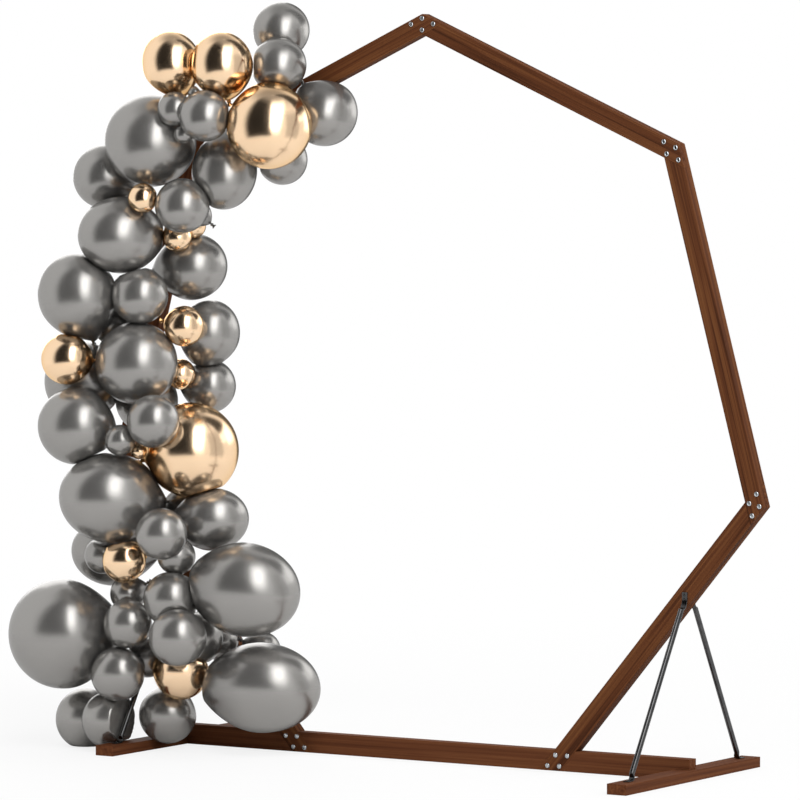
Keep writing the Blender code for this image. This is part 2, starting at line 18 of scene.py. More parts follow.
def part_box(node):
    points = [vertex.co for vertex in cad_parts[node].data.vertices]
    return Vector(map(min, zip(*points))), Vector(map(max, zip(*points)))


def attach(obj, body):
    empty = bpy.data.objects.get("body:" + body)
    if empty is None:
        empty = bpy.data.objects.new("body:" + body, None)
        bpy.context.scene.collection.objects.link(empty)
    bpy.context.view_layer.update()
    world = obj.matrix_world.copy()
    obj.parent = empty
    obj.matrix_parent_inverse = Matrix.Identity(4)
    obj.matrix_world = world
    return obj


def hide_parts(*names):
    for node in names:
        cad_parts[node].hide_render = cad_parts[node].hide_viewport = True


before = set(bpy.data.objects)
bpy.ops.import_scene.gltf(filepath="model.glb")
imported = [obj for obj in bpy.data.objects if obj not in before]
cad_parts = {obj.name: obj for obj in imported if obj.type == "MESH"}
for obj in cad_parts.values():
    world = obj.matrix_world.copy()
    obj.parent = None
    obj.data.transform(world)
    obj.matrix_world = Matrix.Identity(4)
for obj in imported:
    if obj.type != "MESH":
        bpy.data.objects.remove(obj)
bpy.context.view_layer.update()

LOG = logging.getLogger("wedding_arch")
ROOT = "root"

# Edges that turn more than this stay crisp.
CRISP_ANGLE = math.radians(40.0)
# How far the narrow sides of a timber may lean out of the arch's depth.
SIDE_LEAN = 0.1
# A direction that rises less than this counts as level.
LEVEL_RISE = 1e-4
HEXAGON = 6
UP = Vector((0.0, 0.0, 1.0))
WHITE = (1.0, 1.0, 1.0, 1.0)

Points = np.ndarray
Faces = list[tuple[int, ...]]
Shell = tuple[Points, Faces]


class Finish(Enum):
    """Finishes of the pieces made here, named like the record's material slots. The timbers are not
    among them.
    """

    STEEL = "dark_steel"
    GRAPHITE = "graphite_latex"
    GOLD = "gold_latex"


class Face(Enum):
    """Which way a piece looks: the front of the arch is at -Y."""

    FRONT = -1.0
    REAR = 1.0


def srgb(code: str) -> tuple[float, float, float, float]:
    """Linear colour of an sRGB hex code, by the standard's curve.

    Args:
        code: six hex digits after a hash mark.

    Returns:
        Linear red, green and blue, and an alpha of 1.
    """
    parts = [int(code[start:start + 2], 16) / 255 for start in (1, 3, 5)]
    red, green, blue = [
        part / 12.92 if part <= 0.04045 else ((part + 0.055) / 1.055) ** 2.4 for part in parts
    ]
    return red, green, blue, 1.0


def add_node(tree: bpy.types.NodeTree, kind: str, **settings: object) -> bpy.types.Node:
    """Add a node and set it up.

    Args:
        tree: where the node goes.
        kind: the node's type name.
        settings: node properties by name. A key that is no property of the node is one of
            its inputs, with its spaces as underscores: a socket is linked, a value is set.
            A key like In_0 is an input by its number. "stops" are a colour ramp's places
            with their hex colours.

    Returns:
        The new node.
    """
    node = tree.nodes.new(kind)
    inputs = {socket.name.replace(" ", "_"): socket for socket in reversed(node.inputs)}
    for name, value in settings.items():
        if name == "stops":
            elements = node.color_ramp.elements
            while len(elements) < len(value):
                elements.new(0.5)
            for element, (place, code) in zip(elements, value):
                element.position, element.color = place, srgb(code)
            continue
        if not name.startswith("In_") and hasattr(node, name):
            setattr(node, name, value)
            continue
        key = name.removeprefix("In_")
        socket = node.inputs[int(key)] if key.isdigit() else inputs[key]
        if isinstance(value, bpy.types.NodeSocket):
            tree.links.new(value, socket)
        else:
            socket.default_value = value
    return node


def new_material(name: str) -> tuple[bpy.types.Material, bpy.types.NodeTree]:
    """Material with an empty node tree.

    Args:
        name: the material's name.

    Returns:
        The material and its tree.
    """
    material = bpy.data.materials.new(name)
    material.use_nodes = True
    material.node_tree.nodes.clear()
    return material, material.node_tree


@dataclass(frozen=True)
class Relief:
    """How strongly and how deep a pattern shows in the surface."""

    strength: float
    depth: float


@dataclass(frozen=True)
class Figure:
    """One pattern of a board's figure: the size of its marks and its share of the colour."""

    length_mm: float
    width_mm: float
    detail: float
    share: float


@dataclass(frozen=True)
class StainedTimber:
    """Softwood, planed smooth and stained reddish brown."""

    dark: str = "#381e10"
    middle: str = "#55301b"
    light: str = "#6c4427"
    places: tuple[float, float, float] = (0.37, 0.50, 0.65)
    # The stain sinks deeper into the soft early wood, which reads as long darker streaks.
    streaks: Figure = Figure(700.0, 9.0, detail=3.0, share=0.60)
    # Real grain is under 1 mm wide. It is drawn coarser, so that it shows as fine lines.
    fine: Figure = Figure(350.0, 2.6, detail=2.0, share=0.24)
    # A broad darker band wanders along the middle of each board.
    band: Figure = Figure(1166.7, 34.0, detail=0.0, share=0.16)
    wander: float = 0.3
    relief: Relief = Relief(0.35, 0.0004)
    # The darker streaks are smoother than the lighter wood, so the sheen breaks up softly.
    roughness: tuple[float, float] = (0.58, 0.76)
    ior: float = 1.3
    shine: float = 0.12

    def material(self, name: str, axis: str, turn: float, shift: float) -> bpy.types.Material:
        """Finish of one timber, with its grain along it.

        Args:
            name: the material's name.
            axis: the axis that the timber is turned about.
            turn: angle of the timber about it, from the X axis.
            shift: how far the pattern is moved, so that no two timbers look alike.

        Returns:
            The material.
        """
        material, tree = new_material(name)
        place = add_node(tree, "ShaderNodeTexCoord").outputs["Object"]
        turned = add_node(
            tree, "ShaderNodeVectorRotate", rotation_type=axis, Vector=place, Angle=turn
        ).outputs[0]
        moved = add_node(
            tree, "ShaderNodeVectorMath", operation="ADD", In_0=turned, In_1=(shift, shift, shift)
        ).outputs[0]
        patterns: list[bpy.types.NodeSocket] = []
        mixed: bpy.types.NodeSocket | float = 0.0
        for figure in (self.streaks, self.fine, self.band):
            patterns.append(self._pattern(tree, moved, figure))
            mixed = add_node(
                tree, "ShaderNodeMath", operation="MULTIPLY_ADD",
                In_0=patterns[-1], In_1=figure.share, In_2=mixed,
            ).outputs[0]
        streaks, fine, _ = patterns
        stops = list(zip(self.places, (self.dark, self.middle, self.light)))
        colour = add_node(tree, "ShaderNodeValToRGB", stops=stops, Fac=mixed).outputs["Color"]
        bump = add_node(
            tree, "ShaderNodeBump",
            Strength=self.relief.strength, Distance=self.relief.depth, Height=fine,
        ).outputs[0]
        rough = add_node(
            tree, "ShaderNodeMapRange",
            Value=streaks, To_Min=self.roughness[0], To_Max=self.roughness[1],
        ).outputs[0]
        shader = add_node(
            tree, "ShaderNodeBsdfPrincipled",
            Base_Color=colour, Roughness=rough, IOR=self.ior, Specular_IOR_Level=self.shine,
            Normal=bump,
        )
        add_node(tree, "ShaderNodeOutputMaterial", Surface=shader.outputs[0])
        return material

    def _pattern(
        self, tree: bpy.types.NodeTree, place: bpy.types.NodeSocket, figure: Figure
    ) -> bpy.types.NodeSocket:
        """Noise drawn out along the board.

        Args:
            tree: where the nodes go.
            place: coordinates with X along the board.
            figure: the size of the marks.

        Returns:
            The noise's value socket.
        """
        along, across = 1000.0 / figure.length_mm, 1000.0 / figure.width_mm
        stretched = add_node(
            tree, "ShaderNodeVectorMath", operation="MULTIPLY",
            In_0=place, In_1=(along, across, across),
        ).outputs[0]
        noise = add_node(
            tree, "ShaderNodeTexNoise",
            Vector=stretched, Scale=1.0, Detail=figure.detail, Distortion=self.wander,
        )
        return noise.outputs[0]


@dataclass(frozen=True)
class CoatedSteel:
    """Mild steel with a thin dark grey stoved coat, smooth from the dip."""

    colour: str = "#575757"
    # Colour of the ripples' hollows, darker than their crests: painted shade.
    painted_hollow_shade: str = "#4b4b4c"
    places: tuple[float, float] = (0.35, 0.65)
    roughness: float = 0.20
    ripple_mm: float = 25.0
    relief: Relief = Relief(0.05, 0.0004)

    def material(self, name: str) -> bpy.types.Material:
        """Finish of the braces.

        Args:
            name: the material's name.

        Returns:
            The material.
        """
        material, tree = new_material(name)
        place = add_node(tree, "ShaderNodeTexCoord").outputs["Object"]
        ripple = add_node(
            tree, "ShaderNodeTexNoise", Vector=place, Scale=1000.0 / self.ripple_mm, Detail=2.0
        ).outputs[0]
        # The dipped coat runs a little, which breaks the long highlight down the tube.
        bump = add_node(
            tree, "ShaderNodeBump",
            Strength=self.relief.strength, Distance=self.relief.depth, Height=ripple,
        ).outputs[0]
        # The bump's hollows take the darker colour: painted shade in the dips of the ripples.
        stops = list(zip(self.places, (self.painted_hollow_shade, self.colour)))
        colour = add_node(tree, "ShaderNodeValToRGB", stops=stops, Fac=ripple).outputs["Color"]
        shader = add_node(
            tree, "ShaderNodeBsdfPrincipled",
            Base_Color=colour, Metallic=1.0, Roughness=self.roughness, Normal=bump,
        )
        add_node(tree, "ShaderNodeOutputMaterial", Surface=shader.outputs[0])
        return material


@dataclass(frozen=True)
class PlatedSteel:
    """Steel bolt, cold headed and bright zinc plated."""

    colour: str = "#c9cbcc"
    clouded: str = "#aeb4b9"
    places: tuple[float, float] = (0.3, 0.7)
    roughness: tuple[float, float] = (0.08, 0.22)
    spangle_mm: float = 3.0

    def material(self, name: str) -> bpy.types.Material:
        """Finish of the bolts.

        Args:
            name: the material's name.

        Returns:
            The material.
        """
        material, tree = new_material(name)
        place = add_node(tree, "ShaderNodeTexCoord").outputs["Object"]
        # The plating's faint clouding makes each bolt head catch the light a little differently.
        cloud = add_node(
            tree, "ShaderNodeTexNoise", Vector=place, Scale=1000.0 / self.spangle_mm, Detail=1.0
        ).outputs[0]
        rough = add_node(
            tree, "ShaderNodeMapRange",
            Value=cloud, To_Min=self.roughness[0], To_Max=self.roughness[1],
        ).outputs[0]
        stops = list(zip(self.places, (self.clouded, self.colour)))
        colour = add_node(tree, "ShaderNodeValToRGB", stops=stops, Fac=cloud).outputs["Color"]
        shader = add_node(
            tree, "ShaderNodeBsdfPrincipled", Base_Color=colour, Metallic=1.0, Roughness=rough
        )
        add_node(tree, "ShaderNodeOutputMaterial", Surface=shader.outputs[0])
        return material


@dataclass(frozen=True)
class MetallicLatex:
    """Dipped latex with a metallic pigment, blown up tight."""

    crown: str
    neck: str
    rim: str
    metallic: float
    roughness: float
    neck_from: float = 0.55
    wave_mm: float = 14.0
    waves: Relief = Relief(0.10, 0.0010)
    dimple_mm: float = 2.2
    dimples: Relief = Relief(0.06, 0.0003)

    def material(self, name: str) -> bpy.types.Material:
        """Finish of one colour of balloon.

        Args:
            name: the material's name.

        Returns:
            The material.
        """
        material, tree = new_material(name)
        place = add_node(tree, "ShaderNodeTexCoord").outputs["Object"]
        towards_neck = add_node(
            tree, "ShaderNodeAttribute", attribute_name=Garland.NECK_ATTRIBUTE
        ).outputs["Fac"]
        # Latex is thicker near the neck, so the pigment is denser and the colour deeper there.
        stops = [(self.neck_from, self.crown), (1.0, self.neck)]
        colour = add_node(
            tree, "ShaderNodeValToRGB", stops=stops, Fac=towards_neck
        ).outputs["Color"]
        waves = add_node(
            tree, "ShaderNodeTexNoise", Vector=place, Scale=1000.0 / self.wave_mm, Detail=1.0
        ).outputs[0]
        dimples = add_node(
            tree, "ShaderNodeTexNoise", Vector=place, Scale=1000.0 / self.dimple_mm, Detail=2.0
        ).outputs[0]
        # The skin is not quite even, which softens and bends the edges of its reflections.
        waved = add_node(
            tree, "ShaderNodeBump",
            Strength=self.waves.strength, Distance=self.waves.depth, Height=waves,
        ).outputs[0]
        bump = add_node(
            tree, "ShaderNodeBump",
            Strength=self.dimples.strength, Distance=self.dimples.depth, Height=dimples,
            Normal=waved,
        ).outputs[0]
        shader = add_node(
            tree, "ShaderNodeBsdfPrincipled",
            Base_Color=colour, Metallic=self.metallic, Roughness=self.roughness,
            Specular_Tint=srgb(self.rim), Normal=bump,
        )
        add_node(tree, "ShaderNodeOutputMaterial", Surface=shader.outputs[0])
        return material


# The boards near the floor have a plainer figure than the heptagon's.
PLAIN_TIMBER = StainedTimber(dark="#492817", middle="#5a341f", light="#694128")
# The braces' screws are only blackened, which leaves them darker and duller than the tubes.
# The hollows of the screws' ripples are darker still: painted shade.
BLACKENED_STEEL = CoatedSteel(colour="#454544", painted_hollow_shade="#3c3c3c", roughness=0.35, ripple_mm=9.0)
# A fine dark pigment: a satin sheen with soft highlights.
GRAPHITE_LATEX = MetallicLatex(
    crown="#9b9996", neck="#7f7d7b", rim="#e0e0e0", metallic=0.80, roughness=0.26
)
# A coarser bright pigment, packed close: a mirror that is only a little blurred.
GOLD_LATEX = MetallicLatex(
    crown="#fbdab5", neck="#dcac72", rim="#f3e2c8", metallic=1.0, roughness=0.18
)


def lathe(profile: Points, sides: int) -> Shell:
    """Closed skin of a profile turned about Z.

    Args:
        profile: radius and height of each ring, with radius 0 at both ends.
        sides: faces round the axis.

    Returns:
        Points and faces of the shell.
    """
    turns = np.arange(sides) * math.tau / sides
    rings = profile[1:-1]
    radius, height = rings[:, :1], rings[:, 1:]
    level = np.broadcast_to(height, (len(rings), sides))
    body = np.stack([radius * np.cos(turns), radius * np.sin(turns), level], axis=-1)
    points = np.vstack([[0.0, 0.0, profile[0, 1]], body.reshape(-1, 3), [0.0, 0.0, profile[-1, 1]]])
    faces: Faces = []
    for side in range(sides):
        after = (side + 1) % sides
        faces.append((0, 1 + after, 1 + side))
        for ring in range(len(rings) - 1):
            low, high = 1 + ring * sides, 1 + (ring + 1) * sides
            faces.append((low + side, low + after, high + after, high + side))
        top = 1 + (len(rings) - 1) * sides
        faces.append((top + side, top + after, len(points) - 1))
    return points, faces


def transformed(shell: Shell, matrix: Matrix) -> Shell:
    """The shell moved and turned by a matrix.

    Args:
        shell: points and faces.
        matrix: how they are moved.

    Returns:
        The moved points with the same faces.
    """
    points, faces = shell
    table = np.array(matrix)
    return points @ table[:3, :3].T + table[:3, 3], faces


def mesh_object(
    name: str, shells: list[Shell], material: bpy.types.Material
) -> bpy.types.Object:
    """One piece of the arch from several closed shells.

    Args:
        name: the piece's name.
        shells: points and faces of each shell, in the world.
        material: what the piece is made of.

    Returns:
        The new piece, riding on the arch.
    """
    points, faces, start = [], [], 0
    for shell_points, shell_faces in shells:
        points.append(shell_points)
        faces.extend(tuple(index + start for index in face) for face in shell_faces)
        start += len(shell_points)
    mesh = bpy.data.meshes.new(name)
    mesh.from_pydata(np.vstack(points).tolist(), [], faces)
    mesh.shade_smooth()
    mesh.set_sharp_from_angle(angle=CRISP_ANGLE)
    mesh.materials.append(material)
    piece = bpy.data.objects.new(name, mesh)
    bpy.context.scene.collection.objects.link(piece)
    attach(piece, ROOT)
    return piece


@dataclass(frozen=True)
class Line:
    """A straight timber's middle line, in the plane of the arch."""

    start: Vector
    end: Vector
    width: float

    @property
    def along(self) -> Vector:
        """Unit vector from start to end."""
        return (self.end - self.start).normalized()

    @property
    def out(self) -> Vector:
        """Unit normal in the arch's plane, on the left of the way from start to end."""
        return Vector((-self.along.z, 0.0, self.along.x))

    def place(self, along: float, out: float, front: float) -> Vector:
        """Point at distances along, out from and in front of the line."""
        return self.start + self.along * along + self.out * out + Vector((0.0, -front, 0.0))


def timber_line(node: str) -> Line:
    """Middle line of a timber, read from its solid.

    Args:
        node: the timber's CAD node.

    Returns:
        The line, from the timber's lower or right end to its other end.
    """
    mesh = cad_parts[node].data
    sides = [polygon for polygon in mesh.polygons if abs(polygon.normal.y) < SIDE_LEAN]
    normal = max(sides, key=lambda polygon: polygon.area).normal
    along = Vector((normal.z, 0.0, -normal.x)).normalized()
    if along.z < -LEVEL_RISE or (abs(along.z) < LEVEL_RISE and along.x > 0.0):
        along = -along
    out = Vector((-along.z, 0.0, along.x))
    across = [vertex.co.dot(out) for vertex in mesh.vertices]
    lengthwise = [vertex.co.dot(along) for vertex in mesh.vertices]
    middle = out * (min(across) + max(across)) / 2
    start = middle + along * min(lengthwise)
    end = middle + along * max(lengthwise)
    return Line(start, end, max(across) - min(across))


def crossing(first: Line, second: Line) -> Vector:
    """Point where two lines of the arch's plane cross.

    Args:
        first: one line.
        second: the other.

    Returns:
        The crossing point.
    """
    step = second.start - first.start
    spread = first.along.x * second.along.z - first.along.z * second.along.x
    reach = (step.x * second.along.z - step.z * second.along.x) / spread
    return first.start + first.along * reach


def facing(place: Vector, normal: Vector) -> Matrix:
    """Matrix that stands a shell made along +Z on a surface.

    Args:
        place: point of the surface.
        normal: which way the surface looks.

    Returns:
        The matrix.
    """
    turn = UP.rotation_difference(normal).to_matrix().to_4x4()
    return Matrix.Translation(place) @ turn


@dataclass
class Bolt:
    """Dome-headed bolt through both timbers, with a washer and a nut behind."""

    head_radius: float = 0.0075
    head_height: float = 0.0042
    rim_height: float = 0.0010
    # The head's underside is chamfered: shares of its radius and of its rim's height
    flat_share: float = 0.96
    chamfer_share: float = 0.3
    dome_rings: int = 6
    socket_radius: float = 0.0047
    socket_depth: float = 0.0028
    # The dome's hole is this much wider than the socket, which leaves a ledge round it.
    mouth_share: float = 1.10
    washer_radius: float = 0.0090
    washer_thickness: float = 0.0014
    washer_bevel: float = 0.00035
    nut_radius: float = 0.0075
    nut_height: float = 0.0062
    nut_chamfer: float = 0.00075
    thread_radius: float = 0.0040
    thread_end: float = 0.0040
    sides: int = 24

    def head(self) -> Shell:
        """Domed head with a hexagon socket, its flat side at z = 0.

        Returns:
            Points and faces of the head.
        """
        radius, rim, socket = self.head_radius, self.rim_height, self.socket_radius
        dome = self.head_height - rim
        mouth = math.acos(socket * self.mouth_share / radius)
        profile = [(0.0, 0.0), (radius * self.flat_share, 0.0), (radius, rim * self.chamfer_share)]
        profile += [
            (radius * math.cos(angle), rim + dome * math.sin(angle))
            for angle in np.linspace(0.0, mouth, self.dome_rings)
        ]
        ledge, floor = profile[-1][1], self.head_height - self.socket_depth
        profile += [(socket, ledge), (socket, floor), (0.0, floor)]
        points, faces = lathe(np.array(profile), self.sides)
        # The socket's rings are drawn in from circles to hexagons.
        sector = math.tau / HEXAGON
        turn = np.arctan2(points[:, 1], points[:, 0]) % sector - sector / 2
        inner = np.isclose(np.hypot(points[:, 0], points[:, 1]), socket)
        points[inner, :2] *= (math.cos(sector / 2) / np.cos(turn[inner]))[:, None]
        return points, faces

    def back(self) -> list[Shell]:
        """Washer, hexagonal nut and the end of the thread, standing on z = 0.

        Returns:
            Points and faces of each.
        """
        edge, bevel, chamfer = self.washer_thickness, self.washer_bevel, self.nut_chamfer
        washer = [
            (0.0, 0.0), (self.washer_radius - bevel, 0.0), (self.washer_radius, bevel),
            (self.washer_radius, edge - bevel), (self.washer_radius - bevel, edge), (0.0, edge),
        ]
        top = edge + self.nut_height
        nut = [
            (0.0, edge), (self.nut_radius - chamfer, edge), (self.nut_radius, edge + chamfer),
            (self.nut_radius, top - chamfer), (self.nut_radius - chamfer, top), (0.0, top),
        ]
        end = top + self.thread_end
        thread = [
            (0.0, top), (self.thread_radius, top), (self.thread_radius, end - chamfer),
            (self.thread_radius - chamfer, end), (0.0, end),
        ]
        return [
            lathe(np.array(washer), self.sides),
            lathe(np.array(nut), HEXAGON),
            lathe(np.array(thread), self.sides // 2),
        ]


@dataclass
class TimberFrame:
    """The heptagon, its base and its feet, with the bolts of their joints."""

    eased_edge: float = 0.0006
    eased_segments: int = 2
    eased_from_deg: float = 30.0
    weld_distance: float = 0.00001
    grain_shift: float = 0.37
    # How far the bolts' heads and washers stand off the timber
    seat: float = 0.0002
    bolt: Bolt = field(default_factory=Bolt)
    finish: StainedTimber = field(default_factory=StainedTimber)
    plain: tuple[str, ...] = ("base_beam", "left_foot", "right_foot")
    beams: tuple[str, ...] = (
        "upper_left_beam",
        "upper_right_beam",
        "side_right_beam",
        "lower_right_beam",
        "base_beam",
        "lower_left_beam",
        "side_left_beam",
    )
    feet: tuple[str, ...] = ("left_foot", "right_foot")
    # How far apart a joint's bolts are, along its first and its second timber
    bolt_spacing: tuple[tuple[str, float, float], ...] = (
        ("apex", 0.042, 0.042),
        ("right_shoulder", 0.042, 0.036),
        ("right_elbow", 0.036, 0.036),
        ("right_heel", 0.042, 0.040),
        ("left_heel", 0.040, 0.042),
        ("left_elbow", 0.036, 0.036),
        ("left_shoulder", 0.036, 0.042),
    )

    def dress(self) -> None:
        """Ease the timbers' edges and stain them, each with its own run of the grain."""
        for number, name in enumerate(self.beams + self.feet):
            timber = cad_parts[name]
            axis, turn = "Z_AXIS", math.pi / 2
            if name in self.beams:
                along = timber_line(name).along
                axis, turn = "Y_AXIS", math.atan2(along.z, along.x)
            finish = PLAIN_TIMBER if name in self.plain else self.finish
            shift = self.grain_shift * number
            material = finish.material(f"stained_{name}", axis, turn, shift)
            timber.data.materials.clear()
            timber.data.materials.append(material)
            for polygon in timber.data.polygons:
                polygon.material_index = 0
            weld = timber.modifiers.new("weld", "WELD")
            weld.merge_threshold = self.weld_distance
            bevel = timber.modifiers.new("eased_edges", "BEVEL")
            bevel.width = self.eased_edge
            bevel.segments = self.eased_segments
            bevel.limit_method = "ANGLE"
            bevel.angle_limit = math.radians(self.eased_from_deg)
            bevel.harden_normals = True
            LOG.info("timber %s", name)

    def build_bolts(self, material: bpy.types.Material) -> None:
        """Four bolts through each joint, in the lap's own slanted square.

        Args:
            material: the bolts' plating.
        """
        for number, (joint, first_step, second_step) in enumerate(self.bolt_spacing):
            name, after = self.beams[number], self.beams[(number + 1) % len(self.beams)]
            first, second = timber_line(name), timber_line(after)
            low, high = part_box(name)
            middle = crossing(first, second)
            shells: list[Shell] = []
            for one in (-first_step / 2, first_step / 2):
                for two in (-second_step / 2, second_step / 2):
                    place = middle + first.along * one + second.along * two
                    for face in Face:
                        depth = low.y if face is Face.FRONT else high.y
                        spot = Vector((place.x, depth + face.value * self.seat, place.z))
                        stand = facing(spot, Vector((0.0, face.value, 0.0)))
                        parts = [self.bolt.head()] if face is Face.FRONT else self.bolt.back()
                        shells += [transformed(part, stand) for part in parts]
            mesh_object(f"{joint}_bolts", shells, material)
            LOG.info("bolts of the %s joint", joint)


@dataclass
class Brace:
    """Steel tube from a foot up to the lower beam, flattened and bent at both ends."""

    node: str
    face: Face
    strap_length: float = 0.034
    top_drop: float = 0.005
    tab_length: float = 0.030
    thickness: float = 0.003
    flat_run: float = 0.010
    flare: float = 0.012
    flare_steps: int = 8
    bend_radius: float = 0.007
    bend_steps: int = 6
    radius: float = 0.008
    half_strap: float = 0.0088
    # Power of the flattened ends' outline: 1 is an oval, 0 a sharp rectangle.
    strap_power: float = 0.3
    sides: int = 28
    screw_radius: float = 0.0044
    screw_height: float = 0.0022
    screw_rings: int = 6
    screw_sides: int = 24
    # Where the screws sit: shares of the strap and of the tab, from their ends
    strap_screws: tuple[float, float] = (0.24, 0.66)
    tab_screw: float = 0.42

    def ends(self) -> tuple[Vector, Vector, Vector, Vector]:
        """Corners of the brace's middle line.

        Returns:
            The strap's end, the upper bend, the lower bend and the tab's end.
        """
        low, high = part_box(self.node)
        face = self.face.value
        half = self.thickness / 2
        middle_x = (low.x + high.x) / 2
        strap_y = high.y - half if self.face is Face.FRONT else low.y + half
        tab_y = low.y if self.face is Face.FRONT else high.y
        tab_z = low.z + half
        return (
            Vector((middle_x, strap_y, high.z - self.top_drop)),
            Vector((middle_x, strap_y, high.z - self.strap_length)),
            Vector((middle_x, tab_y - face * self.tab_length, tab_z)),
            Vector((middle_x, tab_y, tab_z)),
        )

    def path(self) -> list[tuple[Vector, float]]:
        """Middle line of the tube with its bends.

        Returns:
            Its points, each with how round the tube is there, from 0 to 1.
        """
        top, upper, lower, tab = self.ends()
        rows: list[tuple[Vector, float]] = [(top, 0.0)]
        for corner, before, after in ((upper, top, lower), (lower, upper, tab)):
            start = corner + (before - corner).normalized() * self.bend_radius
            end = corner + (after - corner).normalized() * self.bend_radius
            for share in np.linspace(0.0, 1.0, self.bend_steps):
                first = start.lerp(corner, share)
                second = corner.lerp(end, share)
                rows.append((first.lerp(second, share), 0.0))
            if corner is upper:
                slope = (lower - upper).normalized()
                flat = self.bend_radius + self.flat_run
                shares = np.linspace(0.0, 1.0, self.flare_steps)
                eases = shares * shares * (3.0 - 2.0 * shares)
                for share, ease in zip(shares, eases):
                    rows.append((upper + slope * (flat + self.flare * share), ease))
                for share, ease in zip(shares[::-1], eases[::-1]):
                    rows.append((lower - slope * (self.bend_radius + self.flare * share), ease))
        rows.append((tab, 0.0))
        return rows

    def shell(self) -> Shell:
        """Skin of the tube through all its sections.

        Returns:
            Its points and faces.
        """
        rows = self.path()
        across = np.array((1.0, 0.0, 0.0))
        turns = (np.arange(self.sides) + 0.5) * math.tau / self.sides
        half = self.thickness / 2
        rings = []
        for index, (point, roundness) in enumerate(rows):
            before, after = rows[max(index - 1, 0)][0], rows[min(index + 1, len(rows) - 1)][0]
            way = np.array((after - before).normalized())
            through = np.cross(across, way)
            power = self.strap_power + (1.0 - self.strap_power) * roundness
            wide = self.half_strap + (self.radius - self.half_strap) * roundness
            thick = half + (self.radius - half) * roundness
            lift = through * (self.radius - half) * roundness * self._lift_sign(through)
            cosines = np.sign(np.cos(turns)) * np.abs(np.cos(turns)) ** power
            sines = np.sign(np.sin(turns)) * np.abs(np.sin(turns)) ** power
            section = np.outer(cosines * wide, across) + np.outer(sines * thick, through)
            rings.append(np.array(point) + lift + section)
        points = np.vstack(rings)
        last = len(points) - 1
        faces: Faces = [tuple(range(self.sides)), tuple(range(last, last - self.sides, -1))]
        for ring in range(len(rings) - 1):
            for side in range(self.sides):
                after = (side + 1) % self.sides
                low, high = ring * self.sides, (ring + 1) * self.sides
                faces.append((low + after, low + side, high + side, high + after))
        return points, faces

    def _lift_sign(self, through: Points) -> float:
        """Which way along the section's thickness leads away from the timber."""
        return 1.0 if through[1] * self.face.value > 0.0 else -1.0

    def screws(self) -> list[Shell]:
        """Two screw heads on the strap and one on the tab.

        Returns:
            Points and faces of each head.
        """
        top, upper, lower, tab = self.ends()
        radius, height, half = self.screw_radius, self.screw_height, self.thickness / 2
        arc = np.linspace(0.0, math.pi / 2, self.screw_rings)[:-1]
        dome = [(radius * math.cos(angle), height * math.sin(angle)) for angle in arc]
        head = lathe(np.array([(0.0, 0.0), *dome, (0.0, height)]), self.screw_sides)
        outward = Vector((0.0, self.face.value, 0.0))
        stands = [
            (top.lerp(upper, share) + outward * half, outward) for share in self.strap_screws
        ]
        stands.append((tab.lerp(lower, self.tab_screw) + UP * half, UP))
        return [transformed(head, facing(place, normal)) for place, normal in stands]

    def build(self, coat: bpy.types.Material, screw_finish: bpy.types.Material) -> None:
        """Make the brace and its screws.

        Args:
            coat: the tube's material.
            screw_finish: the screws' material.
        """
        tube = mesh_object(f"{self.node}_tube", [self.shell()], coat)
        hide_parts(self.node)
        mesh_object(f"{self.node}_screws", self.screws(), screw_finish)
        LOG.info("brace %s", self.node)


@dataclass(frozen=True)
class Balloon:
    """One balloon: its middle measured from its line, its diameter and how long it is drawn.

    stretch is its length over its mean diameter. It is as much narrower across. neck is the
    way its neck points, where that isn't to the middle of the garland.
    """

    along: float
    out: float
    front: float
    diameter: float
    stretch: float = 1.0
    neck: tuple[float, float, float] | None = None


@dataclass(frozen=True)
class Cluster:
    """Balloons of one finish, tied together and hung from one line."""

    line: str
    finish: Finish
    balloons: tuple[Balloon, ...]


@dataclass(frozen=True)
class Obstacle:
    """A box that balloons press against: its middle, its axes as rows and its half sizes."""

    middle: Points
    axes: Points
    half: Points

    def nearest(self, point: Points) -> Points:
        """Point of the box that is nearest to another point."""
        local = self.axes @ (point - self.middle)
        return self.middle + self.axes.T @ np.clip(local, -self.half, self.half)


TOP, SIDE, LOWER, FLOOR = "top", "side", "lower", "floor"

